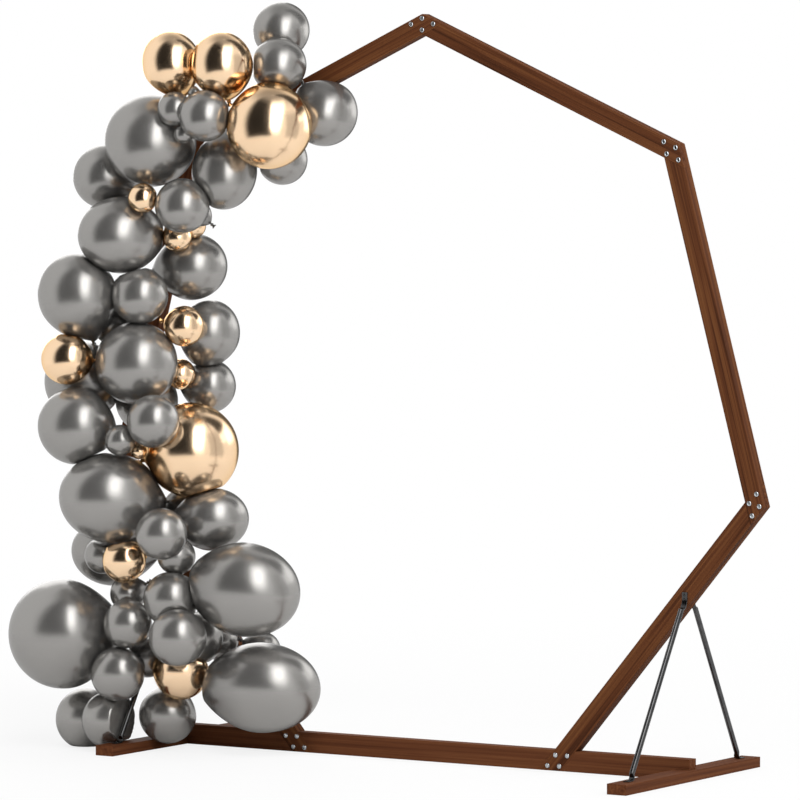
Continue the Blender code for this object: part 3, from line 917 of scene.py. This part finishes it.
CLUSTERS: dict[str, Cluster] = {
    "top_grey_pair": Cluster(TOP, Finish.GRAPHITE, (
        Balloon(0.481, 0.065, 0.140, 0.165, 1.0, (-0.30, 0.90, -0.30)),
        Balloon(0.477, 0.182, 0.051, 0.170, 1.0, (-0.35, 0.90, -0.30)),
    )),
    "top_gold_pair": Cluster(TOP, Finish.GOLD, (
        Balloon(0.366, 0.115, 0.254, 0.195, 1.06, (-0.15, 0.50, -0.85)),
        Balloon(0.220, 0.188, 0.280, 0.186, 1.06, (0.05, 0.45, -0.89)),
    )),
    "top_gold_balloon": Cluster(TOP, Finish.GOLD, (
        Balloon(0.430, -0.105, 0.225, 0.258, 1.02, (-0.30, 0.50, 0.80)),
    )),
    "top_rear_balloon": Cluster(TOP, Finish.GRAPHITE, (
        Balloon(0.510, -0.100, 0.040, 0.200),
    )),
    "top_hanging_balloon": Cluster(TOP, Finish.GRAPHITE, (
        Balloon(0.335, -0.175, 0.070, 0.150),
    )),
    "shoulder_large_pair": Cluster(SIDE, Finish.GRAPHITE, (
        Balloon(1.076, -0.017, 0.251, 0.284, 1.03, (-0.30, 0.95, 0.05)),
        Balloon(0.925, 0.130, 0.235, 0.192),
    )),
    "shoulder_small_cluster": Cluster(TOP, Finish.GRAPHITE, (
        Balloon(0.293, -0.014, 0.323, 0.152),
        Balloon(0.200, 0.050, 0.320, 0.102),
        Balloon(0.190, -0.025, 0.305, 0.058),
        Balloon(0.271, 0.069, 0.297, 0.042),
    )),
    "shoulder_grey_trio": Cluster(SIDE, Finish.GRAPHITE, (
        Balloon(1.045, -0.246, 0.174, 0.214, 1.10, (-0.10, 0.30, 0.95)),
        Balloon(0.925, -0.195, 0.280, 0.164),
        Balloon(0.895, -0.195, 0.175, 0.072, 1.0, (0.66, 0.39, -0.64)),
    )),
    "shoulder_gold_balloon": Cluster(SIDE, Finish.GOLD, (
        Balloon(0.920, -0.090, 0.335, 0.088),
    )),
    "upper_gold_pair": Cluster(SIDE, Finish.GOLD, (
        Balloon(0.815, -0.150, 0.205, 0.090),
        Balloon(0.850, -0.155, 0.140, 0.078, 1.0, (-0.50, 0.80, 0.20)),
    )),
    "upper_rear_balloon": Cluster(SIDE, Finish.GRAPHITE, (
        Balloon(0.721, -0.154, 0.103, 0.212, 1.05, (-0.90, -0.20, -0.10)),
    )),
    "upper_grey_cluster": Cluster(SIDE, Finish.GRAPHITE, (
        Balloon(0.785, -0.017, 0.299, 0.250, 1.09, (0.35, 0.94, -0.03)),
        Balloon(0.576, 0.054, 0.352, 0.249, 1.05, (0.12, 0.35, -0.93)),
        Balloon(0.626, -0.118, 0.286, 0.171),
        Balloon(0.505, 0.010, 0.195, 0.146),
    )),
    "middle_gold_balloon": Cluster(SIDE, Finish.GOLD, (
        Balloon(0.565, -0.245, 0.210, 0.122),
    )),
    "middle_rear_pair": Cluster(SIDE, Finish.GRAPHITE, (
        Balloon(0.535, -0.240, 0.060, 0.196, 1.05, (-0.30, 0.10, -0.95)),
        Balloon(0.375, -0.260, 0.030, 0.164),
    )),
    "outer_gold_balloon": Cluster(SIDE, Finish.GOLD, (
        Balloon(0.393, 0.018, 0.391, 0.154),
    )),
    "middle_grey_pair": Cluster(SIDE, Finish.GRAPHITE, (
        Balloon(0.425, -0.150, 0.275, 0.248),
        Balloon(0.297, -0.122, 0.137, 0.195, 1.03, (-0.10, 0.50, 0.85)),
    )),
    "middle_small_gold_balloon": Cluster(SIDE, Finish.GOLD, (
        Balloon(0.405, -0.220, 0.135, 0.092),
    )),
    "middle_outer_pair": Cluster(SIDE, Finish.GRAPHITE, (
        Balloon(0.205, -0.055, 0.375, 0.231),
        Balloon(0.305, 0.055, 0.225, 0.240),
    )),
    "middle_front_balloon": Cluster(SIDE, Finish.GRAPHITE, (
        Balloon(0.295, -0.310, 0.360, 0.158),
    )),
    "middle_small_balloon": Cluster(SIDE, Finish.GRAPHITE, (
        Balloon(0.210, -0.220, 0.375, 0.092),
    )),
    "large_gold_pair": Cluster(SIDE, Finish.GOLD, (
        Balloon(0.205, -0.345, 0.180, 0.288),
        Balloon(0.185, -0.260, 0.325, 0.048),
    )),
    "elbow_grey_cluster": Cluster(LOWER, Finish.GRAPHITE, (
        Balloon(0.850, -0.135, 0.330, 0.298, 1.10, (0.45, 0.88, -0.10)),
        Balloon(0.790, 0.068, 0.170, 0.226, 1.10, (0.85, 0.50, -0.10)),
        Balloon(0.750, 0.020, 0.305, 0.110),
    )),
    "elbow_rear_pair": Cluster(LOWER, Finish.GRAPHITE, (
        Balloon(0.642, -0.278, 0.160, 0.206, 1.09, (-0.88, -0.42, -0.05)),
        Balloon(0.745, -0.175, 0.085, 0.158),
    )),
    "elbow_front_pair": Cluster(LOWER, Finish.GRAPHITE, (
        Balloon(0.640, -0.230, 0.370, 0.154),
        Balloon(0.595, -0.171, 0.272, 0.116),
    )),
    "elbow_gold_balloon": Cluster(LOWER, Finish.GOLD, (
        Balloon(0.675, -0.055, 0.340, 0.132),
    )),
    "lower_inner_trio": Cluster(LOWER, Finish.GRAPHITE, (
        Balloon(0.385, -0.275, 0.230, 0.310, 1.11, (-0.96, -0.23, 0.16)),
        Balloon(0.495, -0.095, 0.310, 0.164),
        Balloon(0.372, -0.076, 0.368, 0.172),
    )),
    "lower_small_pair": Cluster(FLOOR, Finish.GRAPHITE, (
        Balloon(0.390, -0.035, 0.330, 0.148),
        Balloon(0.475, 0.010, 0.265, 0.110),
    )),
    "lower_outer_balloon": Cluster(FLOOR, Finish.GRAPHITE, (
        Balloon(0.350, 0.204, 0.330, 0.332, 1.0, (0.75, 0.64, 0.12)),
    )),
    "lower_grey_pair": Cluster(LOWER, Finish.GRAPHITE, (
        Balloon(0.394, -0.022, 0.193, 0.162),
        Balloon(0.377, -0.006, 0.066, 0.110),
    )),
    "heel_pair": Cluster(LOWER, Finish.GRAPHITE, (
        Balloon(0.148, -0.095, 0.165, 0.312, 1.16, (-0.93, -0.28, 0.03)),
        Balloon(0.280, -0.085, 0.025, 0.116),
    )),
    "lower_front_pair": Cluster(FLOOR, Finish.GRAPHITE, (
        Balloon(0.240, -0.005, 0.340, 0.164),
        Balloon(0.280, -0.025, 0.220, 0.122),
    )),
    "floor_pair": Cluster(FLOOR, Finish.GRAPHITE, (
        Balloon(0.095, 0.051, 0.303, 0.174, 1.0, (-0.30, 0.90, 0.20)),
        Balloon(0.083, 0.194, 0.229, 0.188, 1.0, (0.20, 0.95, 0.20)),
    )),
    "lower_gold_balloon": Cluster(LOWER, Finish.GOLD, (
        Balloon(0.340, 0.070, 0.225, 0.168),
    )),
    "floor_balloon": Cluster(FLOOR, Finish.GRAPHITE, (
        Balloon(0.105, -0.065, 0.170, 0.174, 1.0, (0.0, 0.50, 0.85)),
    )),
}

# Corners of the garland's core, which the necks point to: a line, along, out and front
CORE_POINTS = (
    (TOP, 0.500, 0.030, 0.090),
    (TOP, 0.300, 0.020, 0.180),
    (TOP, 0.100, 0.010, 0.200),
    (SIDE, 0.900, -0.050, 0.200),
    (SIDE, 0.650, -0.060, 0.200),
    (SIDE, 0.400, -0.080, 0.220),
    (SIDE, 0.150, -0.140, 0.240),
    (LOWER, 0.750, -0.080, 0.220),
    (LOWER, 0.500, -0.040, 0.220),
    (FLOOR, 0.330, -0.040, 0.250),
    (FLOOR, 0.120, 0.010, 0.220),
)


@dataclass
class Garland:
    """The balloons, each a blown skin with a neck and a knot, pressed by all that it touches."""

    NECK_ATTRIBUTE = "towards_neck"
    # The knot and the rolled lip: radius over the neck's, and height in steps of the neck
    KNOT = (
        (1.0, 0.6), (1.0, 1.6), (1.6, 2.1), (1.8, 2.9), (1.6, 3.7), (0.9, 4.3), (1.3, 5.4),
        (2.1, 7.2), (2.4, 7.7), (2.35, 8.2), (2.0, 8.1), (1.1, 6.4), (0.0, 6.0),
    )

    braces: tuple[Brace, ...]
    # How much narrower and longer a balloon gets towards its neck
    taper: float = 0.20
    draw_out: float = 0.07
    # Length and width of the teat that the neck grows from, over the balloon's radius
    teat: float = 0.07
    teat_width: float = 0.2
    # A neck's radius, and how much of the balloon's radius is added to it
    neck_radius: float = 0.0028
    neck_share: float = 0.012
    knot_step: float = 0.6
    gap: float = 0.0002
    # How wide the soft edge round a flat is: the limits, and shares of the radius and the dent
    softness: float = 0.0012
    least_softness: float = 0.0001
    soft_share: float = 0.03
    dent_share: float = 0.25
    press_rounds: int = 3
    floor_clearance: float = 0.002
    # Half the faces round a balloon: the least, and how many more for a metre of radius
    least_faces: int = 18
    faces_per_metre: float = 130.0
    extra_rings: int = 6

    def __post_init__(self) -> None:
        """Work out the lines that the balloons hang along, their places and what they press on."""
        top, side, lower = (timber_line(f"{word}_left_beam") for word in ("upper", "side", "lower"))
        base = timber_line("base_beam")
        heel, elbow, shoulder = crossing(base, lower), crossing(lower, side), crossing(side, top)
        apex = crossing(top, timber_line("upper_right_beam"))
        foot_low, foot_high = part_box("left_foot")
        foot = Vector(((foot_low.x + foot_high.x) / 2, 0.0, 0.0))
        self.lines = {
            TOP: Line(shoulder, apex, top.width),
            SIDE: Line(elbow, shoulder, side.width),
            LOWER: Line(heel, elbow, lower.width),
            FLOOR: Line(foot, foot + UP, top.width),
        }
        self.core = [np.array(self.lines[line].place(*rest)) for line, *rest in CORE_POINTS]
        self.obstacles = self._obstacles()
        self.spheres = [
            (self.centre(cluster, balloon), balloon.diameter / 2)
            for cluster in CLUSTERS.values()
            for balloon in cluster.balloons
        ]

    def _obstacles(self) -> list[Obstacle]:
        """Everything of the arch's left half that a balloon could press against.

        Returns:
            A box for each timber and for each straight run of a brace.
        """
        low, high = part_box("base_beam")
        half_depth = (high.y - low.y) / 2
        found = []
        for line in (self.lines[TOP], self.lines[SIDE], self.lines[LOWER]):
            axes = np.array((line.along, (0.0, 1.0, 0.0), line.out))
            length, half_width = (line.end - line.start).length, line.width / 2
            half = np.array((length / 2 + half_width, half_depth, half_width))
            found.append(Obstacle(np.array((line.start + line.end) / 2), axes, half))
        for node in ("base_beam", "left_foot"):
            low, high = (np.array(corner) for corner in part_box(node))
            found.append(Obstacle((low + high) / 2, np.eye(3), (high - low) / 2))
        for brace in self.braces:
            ends = brace.ends()
            for upper, lower in zip(ends, ends[1:]):
                way = np.array((lower - upper).normalized())
                across = np.array((1.0, 0.0, 0.0))
                axes = np.array((way, across, np.cross(way, across)))
                length, thick = (lower - upper).length, brace.radius + brace.thickness
                half = np.array((length / 2, brace.half_strap, thick))
                found.append(Obstacle(np.array((upper + lower) / 2), axes, half))
        return found

    def centre(self, cluster: Cluster, balloon: Balloon) -> Points:
        """Middle of a balloon in the world."""
        return np.array(self.lines[cluster.line].place(balloon.along, balloon.out, balloon.front))

    def neck_way(self, centre: Points, balloon: Balloon) -> Points:
        """Which way a balloon's neck points: to the garland's core, unless it says otherwise.

        Args:
            centre: the balloon's middle.
            balloon: the balloon.

        Returns:
            Unit vector from its middle along its neck.
        """
        if balloon.neck is not None:
            return np.array(balloon.neck) / np.linalg.norm(balloon.neck)
        best = None
        for start, end in zip(self.core, self.core[1:]):
            step = end - start
            share = np.clip((centre - start) @ step / (step @ step), 0.0, 1.0)
            gap = start + step * share - centre
            if best is None or gap @ gap < best @ best:
                best = gap
        return best / np.linalg.norm(best)

    def profile(self, balloon: Balloon, rings: int) -> Points:
        """Radius and height of the balloon's outline, from its crown to its rolled lip.

        Args:
            balloon: the balloon.
            rings: how many rings its body has.

        Returns:
            One row of radius and height for each ring.
        """
        radius = balloon.diameter / 2
        neck = self.neck_radius + self.neck_share * radius
        angle = np.linspace(0.0, math.pi, rings)
        height = -np.cos(angle)
        forward = np.maximum(height, 0.0)
        across = radius / balloon.stretch * np.sin(angle) * (1.0 - self.taper * forward ** 2)
        length = radius * balloon.stretch * height * (1.0 + self.draw_out * forward ** 2)
        swell = np.exp(-((across / (self.teat_width * radius)) ** 2))
        length += self.teat * radius * swell * (height > 0.0)
        body = [(wide, tall) for wide, tall in zip(across, length) if tall < 0.0 or wide > neck]
        body[0] = (0.0, body[0][1])
        tip = body[-1][1]
        body += [(neck * wide, tip + neck * self.knot_step * tall) for wide, tall in self.KNOT]
        return np.array(body)

    def planes(self, centre: Points, radius: float, own: int) -> list[tuple[Points, Points]]:
        """Planes that press on a balloon: timber, braces, the floor and its neighbours.

        Args:
            centre: its middle.
            radius: its mean radius.
            own: its number in the whole garland.

        Returns:
            A point and the outward normal of each plane.
        """
        found = []
        for obstacle in self.obstacles:
            nearest = obstacle.nearest(centre)
            step = nearest - centre
            normal = step / np.linalg.norm(step)
            found.append((nearest - normal * self.gap, normal))
        for number, (other, other_radius) in enumerate(self.spheres):
            if number == own:
                continue
            step = other - centre
            distance = np.linalg.norm(step)
            normal = step / distance
            reach = (distance ** 2 + radius ** 2 - other_radius ** 2) / (2 * distance)
            found.append((centre + normal * (reach - self.gap / 2), normal))
        found.append((np.array((0.0, 0.0, self.floor_clearance)), np.array((0.0, 0.0, -1.0))))
        return found

    def press(self, points: Points, planes: list[tuple[Points, Points]], softness: float) -> Points:
        """Flatten a skin against planes, with a soft edge round each flat.

        Args:
            points: the skin's points.
            planes: a point and the outward normal of each plane.
            softness: how wide the soft edge is.

        Returns:
            The pressed points.
        """
        for _ in range(self.press_rounds):
            for spot, normal in planes:
                beyond = (points - spot) @ normal
                depth = beyond.max()
                if depth < 0.0:
                    continue
                soft = max(min(softness, depth * self.dent_share), self.least_softness)
                kept = -soft * np.logaddexp(0.0, -beyond / soft)
                points = points - np.outer(beyond - kept, normal)
        return points

    def skin(self, balloon: Balloon, number: int) -> tuple[Shell, Points]:
        """One blown and pressed balloon.

        Args:
            balloon: the balloon.
            number: its number in the whole garland.

        Returns:
            Its points and faces, and for each point how near it is to the neck, from 0 to 1.
        """
        centre, radius = self.spheres[number]
        half_faces = round(self.least_faces + self.faces_per_metre * radius)
        sides = 2 * half_faces
        points, faces = lathe(self.profile(balloon, half_faces + self.extra_rings), sides)
        towards_neck = np.clip(points[:, 2] / radius * 0.5 + 0.5, 0.0, 1.0)
        way = Vector(self.neck_way(centre, balloon))
        points, faces = transformed((points, faces), facing(Vector(centre), way))
        softness = min(self.softness, radius * self.soft_share)
        pressed = self.press(points, self.planes(centre, radius, number), softness)
        # The knot is firm: it slips in between the neighbours and isn't flattened.
        knot = (len(self.KNOT) - 1) * sides + 1
        pressed[-knot:] = points[-knot:]
        return (pressed, faces), towards_neck

    def build(self, materials: dict[Finish, bpy.types.Material]) -> None:
        """Make every cluster as one piece that stands for its CAD node.

        Args:
            materials: the latex of each finish.
        """
        number = 0
        for name, cluster in CLUSTERS.items():
            shells, necks = [], []
            for balloon in cluster.balloons:
                shell, towards_neck = self.skin(balloon, number)
                shells.append(shell)
                necks.append(towards_neck)
                number += 1
            material = materials[cluster.finish]
            piece = mesh_object(f"{name}_balloons", shells, material)
            shade = piece.data.attributes.new(self.NECK_ATTRIBUTE, "FLOAT", "POINT")
            shade.data.foreach_set("value", np.concatenate(necks).astype(np.float32))
            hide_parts(name)
            LOG.info("garland %s: %d balloons", name, len(cluster.balloons))


@dataclass(frozen=True)
class Lamp:
    """Softbox that looks at the arch's middle: where it stands, its size and its power.

    Its azimuth is in degrees round the arch from the camera's side, its elevation in degrees.
    Where mirrored is off, reflections don't show it.
    """

    name: str
    azimuth: float
    elevation: float
    distance: float
    width: float
    height: float
    watts: float
    mirrored: bool = False


@dataclass(frozen=True)
class Card:
    """Curved card that only reflections show, as photographers set round shiny things.

    Its azimuths are in degrees round the arch from the camera's side, its elevations in
    degrees. level is how bright its face is. fade is the share of the card over which its
    first, last, lower and upper edge fade. A straight card keeps its width up to its top,
    where the others taper.
    """

    name: str
    azimuths: tuple[float, float]
    elevations: tuple[float, float]
    distance: float
    level: float
    fade: tuple[float, float, float, float]
    straight: bool = False


LAMPS = (
    Lamp("key_softbox", 8.0, 44.0, 18.0, width=9.0, height=9.0, watts=2250.0),
    Lamp("rim_softbox", 106.0, 26.0, 9.0, width=6.0, height=3.9, watts=60.0, mirrored=True),
    Lamp("rear_softbox", 196.0, 22.0, 9.0, width=4.5, height=6.4, watts=170.0, mirrored=True),
    Lamp("edge_softbox", 78.0, 34.0, 12.0, width=5.0, height=5.0, watts=330.0),
)

CARDS = (
    Card("key_card", (-5.0, 30.0), (-14.0, 80.0), 3.3, 4.6, (0.14, 0.35, 0.42, 0.36), True),
    Card("dark_card", (-77.0, 3.0), (-13.0, 82.0), 3.4, 0.02, (0.24, 0.0, 0.05, 0.20)),
    Card("tan_card", (42.0, 92.0), (-18.0, 50.0), 3.6, 0.62, (0.10, 0.15, 0.10, 0.25)),
    Card("side_card", (108.0, 152.0), (3.0, 36.0), 3.4, 2.4, (0.15, 0.25, 0.25, 0.25)),
    Card("far_card", (86.0, 150.0), (28.0, 88.0), 3.5, 0.05, (0.12, 0.35, 0.16, 0.05)),
    Card("ceiling_card", (-180.0, 180.0), (50.0, 89.0), 4.2, 0.38, (0.0, 0.0, 0.70, 0.0)),
    Card("rear_card", (150.0, 186.0), (-16.0, 60.0), 3.8, 0.10, (0.3, 0.2, 0.1, 0.2)),
)


@dataclass
class Studio:
    """Camera at the photograph's viewing angle, soft lamps, reflector cards and a pale floor."""

    azimuth: float = 32.759
    elevation: float = 2.863
    roll: float = -0.168
    distance: float = 15.1525
    lens_mm: float = 230.82
    sensor_mm: float = 36.0
    # The camera sees this far, past the floor's edge.
    sight: float = 200.0
    target: tuple[float, float, float] = (-0.0933, 0.0, 1.0641)
    ambient: float = 0.60
    floor_colour: str = "#e4e4e4"
    floor_radius: float = 60.0
    floor_sides: int = 96
    # The floor's own paint shows near the arch and fades into white farther out.
    paint_share: float = 0.18
    paint_near: float = 1.6
    paint_far: float = 4.5
    mirrored_far: float = 6.0
    card_columns: int = 33
    card_rows: int = 17

    def back(self, azimuth: float, elevation: float) -> Vector:
        """Unit vector from the arch towards a place round it.

        Args:
            azimuth: the place's angle from the front of the arch, in degrees.
            elevation: its angle above the floor, in degrees.

        Returns:
            The vector.
        """
        turn, rise = math.radians(azimuth), math.radians(elevation)
        level = math.cos(rise)
        return Vector((math.sin(turn) * level, -math.cos(turn) * level, math.sin(rise)))

    def stand(self, back: Vector, distance: float) -> Matrix:
        """Matrix that puts a thing round the arch, so that its -Z looks at the arch's middle.

        Args:
            back: unit vector from the arch towards the thing.
            distance: how far it is from the arch's middle.

        Returns:
            The matrix.
        """
        right = UP.cross(back).normalized()
        axes = Matrix((right, back.cross(right), back)).transposed().to_4x4()
        return Matrix.Translation(Vector(self.target) + back * distance) @ axes

    def build_camera(self) -> None:
        """Long lens, far from the arch."""
        data = bpy.data.cameras.new("photo_camera")
        data.sensor_width = self.sensor_mm
        data.lens = self.lens_mm
        data.clip_end = self.sight
        camera = bpy.data.objects.new("photo_camera", data)
        stand = self.stand(self.back(self.azimuth, self.elevation), self.distance)
        camera.matrix_world = stand @ Matrix.Rotation(math.radians(self.roll), 4, "Z")
        bpy.context.scene.collection.objects.link(camera)
        bpy.context.scene.camera = camera

    def build_world(self) -> None:
        """White all round, at full strength only where it is seen or mirrored."""
        world = bpy.data.worlds.new("studio_white")
        world.use_nodes = True
        tree = world.node_tree
        tree.nodes.clear()
        strength = self._seen(tree, self.ambient, 1.0)
        background = add_node(tree, "ShaderNodeBackground", Color=WHITE, Strength=strength)
        add_node(tree, "ShaderNodeOutputWorld", Surface=background.outputs[0])
        bpy.context.scene.world = world

    def _seen(self, tree: bpy.types.NodeTree, low: float, high: float) -> bpy.types.NodeSocket:
        """Value that depends on whether a ray shows or mirrors a surface.

        Args:
            tree: where the nodes go.
            low: the value for the rays that only light a surface.
            high: the value for the rays that show or mirror it.

        Returns:
            The value's socket.
        """
        path = add_node(tree, "ShaderNodeLightPath")
        seen = path.outputs["Is Camera Ray"]
        for name in ("Is Glossy Ray", "Is Transmission Ray"):
            seen = add_node(
                tree, "ShaderNodeMath", operation="MAXIMUM", In_0=seen, In_1=path.outputs[name]
            ).outputs[0]
        return add_node(
            tree, "ShaderNodeMapRange", Value=seen, To_Min=low, To_Max=high
        ).outputs[0]

    def build_floor(self) -> None:
        """Pale floor that takes the arch's shadow and fades into the white round it."""
        shape = bmesh.new()
        bmesh.ops.create_circle(
            shape, cap_ends=True, segments=self.floor_sides, radius=self.floor_radius
        )
        mesh = bpy.data.meshes.new("studio_floor")
        shape.to_mesh(mesh)
        shape.free()
        material, tree = new_material("pale_floor_paint")
        place = add_node(tree, "ShaderNodeTexCoord").outputs["Object"]
        away = add_node(
            tree, "ShaderNodeVectorMath", operation="LENGTH", In_0=place
        ).outputs["Value"]
        near, mirrored = (
            add_node(
                tree, "ShaderNodeMapRange",
                Value=away, From_Min=self.paint_near, From_Max=far, To_Min=most, To_Max=0.0,
            ).outputs[0]
            for far, most in ((self.paint_far, self.paint_share), (self.mirrored_far, 1.0))
        )
        # Balloons mirror the paint itself near the arch, with the arch's own shadow on it.
        glossy = add_node(
            tree, "ShaderNodeMath", operation="MULTIPLY",
            In_0=add_node(tree, "ShaderNodeLightPath").outputs["Is Glossy Ray"], In_1=mirrored,
        ).outputs[0]
        share = self._seen(tree, 1.0, 0.0)
        for part in (near, glossy):
            share = add_node(
                tree, "ShaderNodeMath", operation="MAXIMUM", In_0=share, In_1=part
            ).outputs[0]
        paint = add_node(tree, "ShaderNodeBsdfDiffuse", Color=srgb(self.floor_colour))
        white = add_node(tree, "ShaderNodeEmission", Color=WHITE, Strength=1.0)
        mixed = add_node(
            tree, "ShaderNodeMixShader", Fac=share, In_1=white.outputs[0], In_2=paint.outputs[0]
        )
        add_node(tree, "ShaderNodeOutputMaterial", Surface=mixed.outputs[0])
        mesh.materials.append(material)
        floor = bpy.data.objects.new("studio_floor", mesh)
        bpy.context.scene.collection.objects.link(floor)

    def add_lamp(self, lamp: Lamp) -> None:
        """Set up one softbox, which the camera doesn't see.

        Args:
            lamp: the softbox.
        """
        data = bpy.data.lights.new(lamp.name, "AREA")
        data.shape = "RECTANGLE"
        data.size, data.size_y = lamp.width, lamp.height
        data.energy = lamp.watts
        softbox = bpy.data.objects.new(lamp.name, data)
        back = self.back(self.azimuth + lamp.azimuth, lamp.elevation)
        softbox.matrix_world = self.stand(back, lamp.distance)
        softbox.visible_camera = False
        softbox.visible_glossy = lamp.mirrored
        bpy.context.scene.collection.objects.link(softbox)

    def add_card(self, card: Card) -> None:
        """Set up one card, which only reflections show.

        Args:
            card: the card.
        """
        columns, rows = self.card_columns, self.card_rows
        points = []
        for rise in np.linspace(*card.elevations, rows):
            spread = 1.0 / math.cos(math.radians(rise)) if card.straight else 1.0
            points += [
                Vector(self.target) + self.back(self.azimuth + turn * spread, rise) * card.distance
                for turn in np.linspace(*card.azimuths, columns)
            ]
        first, last, lower, upper = card.fade
        cover = [
            self._edge(column / (columns - 1), first, last)
            * self._edge(row / (rows - 1), lower, upper)
            for row in range(rows)
            for column in range(columns)
        ]
        faces = [
            (start, start + 1, start + columns + 1, start + columns)
            for row in range(rows - 1)
            for start in range(row * columns, (row + 1) * columns - 1)
        ]
        mesh = bpy.data.meshes.new(card.name)
        mesh.from_pydata(points, [], faces)
        mesh.attributes.new("cover", "FLOAT", "POINT").data.foreach_set("value", cover)
        material, tree = new_material(f"{card.name}_paper")
        share = add_node(tree, "ShaderNodeAttribute", attribute_name="cover").outputs["Fac"]
        clear = add_node(tree, "ShaderNodeBsdfTransparent")
        face = add_node(tree, "ShaderNodeEmission", Color=WHITE, Strength=card.level)
        mixed = add_node(
            tree, "ShaderNodeMixShader", Fac=share, In_1=clear.outputs[0], In_2=face.outputs[0]
        )
        add_node(tree, "ShaderNodeOutputMaterial", Surface=mixed.outputs[0])
        mesh.materials.append(material)
        sheet = bpy.data.objects.new(card.name, mesh)
        bpy.context.scene.collection.objects.link(sheet)
        for way in ("camera", "diffuse", "transmission", "shadow"):
            setattr(sheet, f"visible_{way}", False)

    @staticmethod
    def _edge(place: float, first: float, last: float) -> float:
        """Cover of a card at a place across it, from 0 at a fading edge to 1.

        Args:
            place: where, as a share of the card.
            first: the share over which the first edge fades.
            last: the share over which the last edge fades.

        Returns:
            The cover.
        """
        cover = 1.0
        if first > 0.0:
            cover *= min(place / first, 1.0)
        if last > 0.0:
            cover *= min((1.0 - place) / last, 1.0)
        return cover * cover * (3.0 - 2.0 * cover)

    def build(self) -> None:
        """Set up the whole studio."""
        bpy.context.scene.view_settings.view_transform = "Standard"
        self.build_camera()
        self.build_world()
        self.build_floor()
        for lamp in LAMPS:
            self.add_lamp(lamp)
        for card in CARDS:
            self.add_card(card)
        LOG.info("studio: %d lamps and %d cards", len(LAMPS), len(CARDS))


def main() -> None:
    """Build the studio, the timber, the steel and the garland, in that order."""
    logging.basicConfig(level=logging.INFO, format="%(message)s")
    Studio().build()
    timber = TimberFrame()
    timber.dress()
    timber.build_bolts(PlatedSteel().material("zinc_plated_steel"))
    coat = CoatedSteel().material("coated_steel_tube")
    blackened = BLACKENED_STEEL.material("blackened_steel_screws")
    braces = {
        side: tuple(Brace(f"{side}_{face.name.lower()}_brace", face) for face in Face)
        for side in ("left", "right")
    }
    for brace in braces["left"] + braces["right"]:
        brace.build(coat, blackened)
    latex = {
        Finish.GRAPHITE: GRAPHITE_LATEX.material("graphite_metallic_latex"),
        Finish.GOLD: GOLD_LATEX.material("gold_metallic_latex"),
    }
    Garland(braces["left"]).build(latex)


if __name__ == "__main__":
    main()
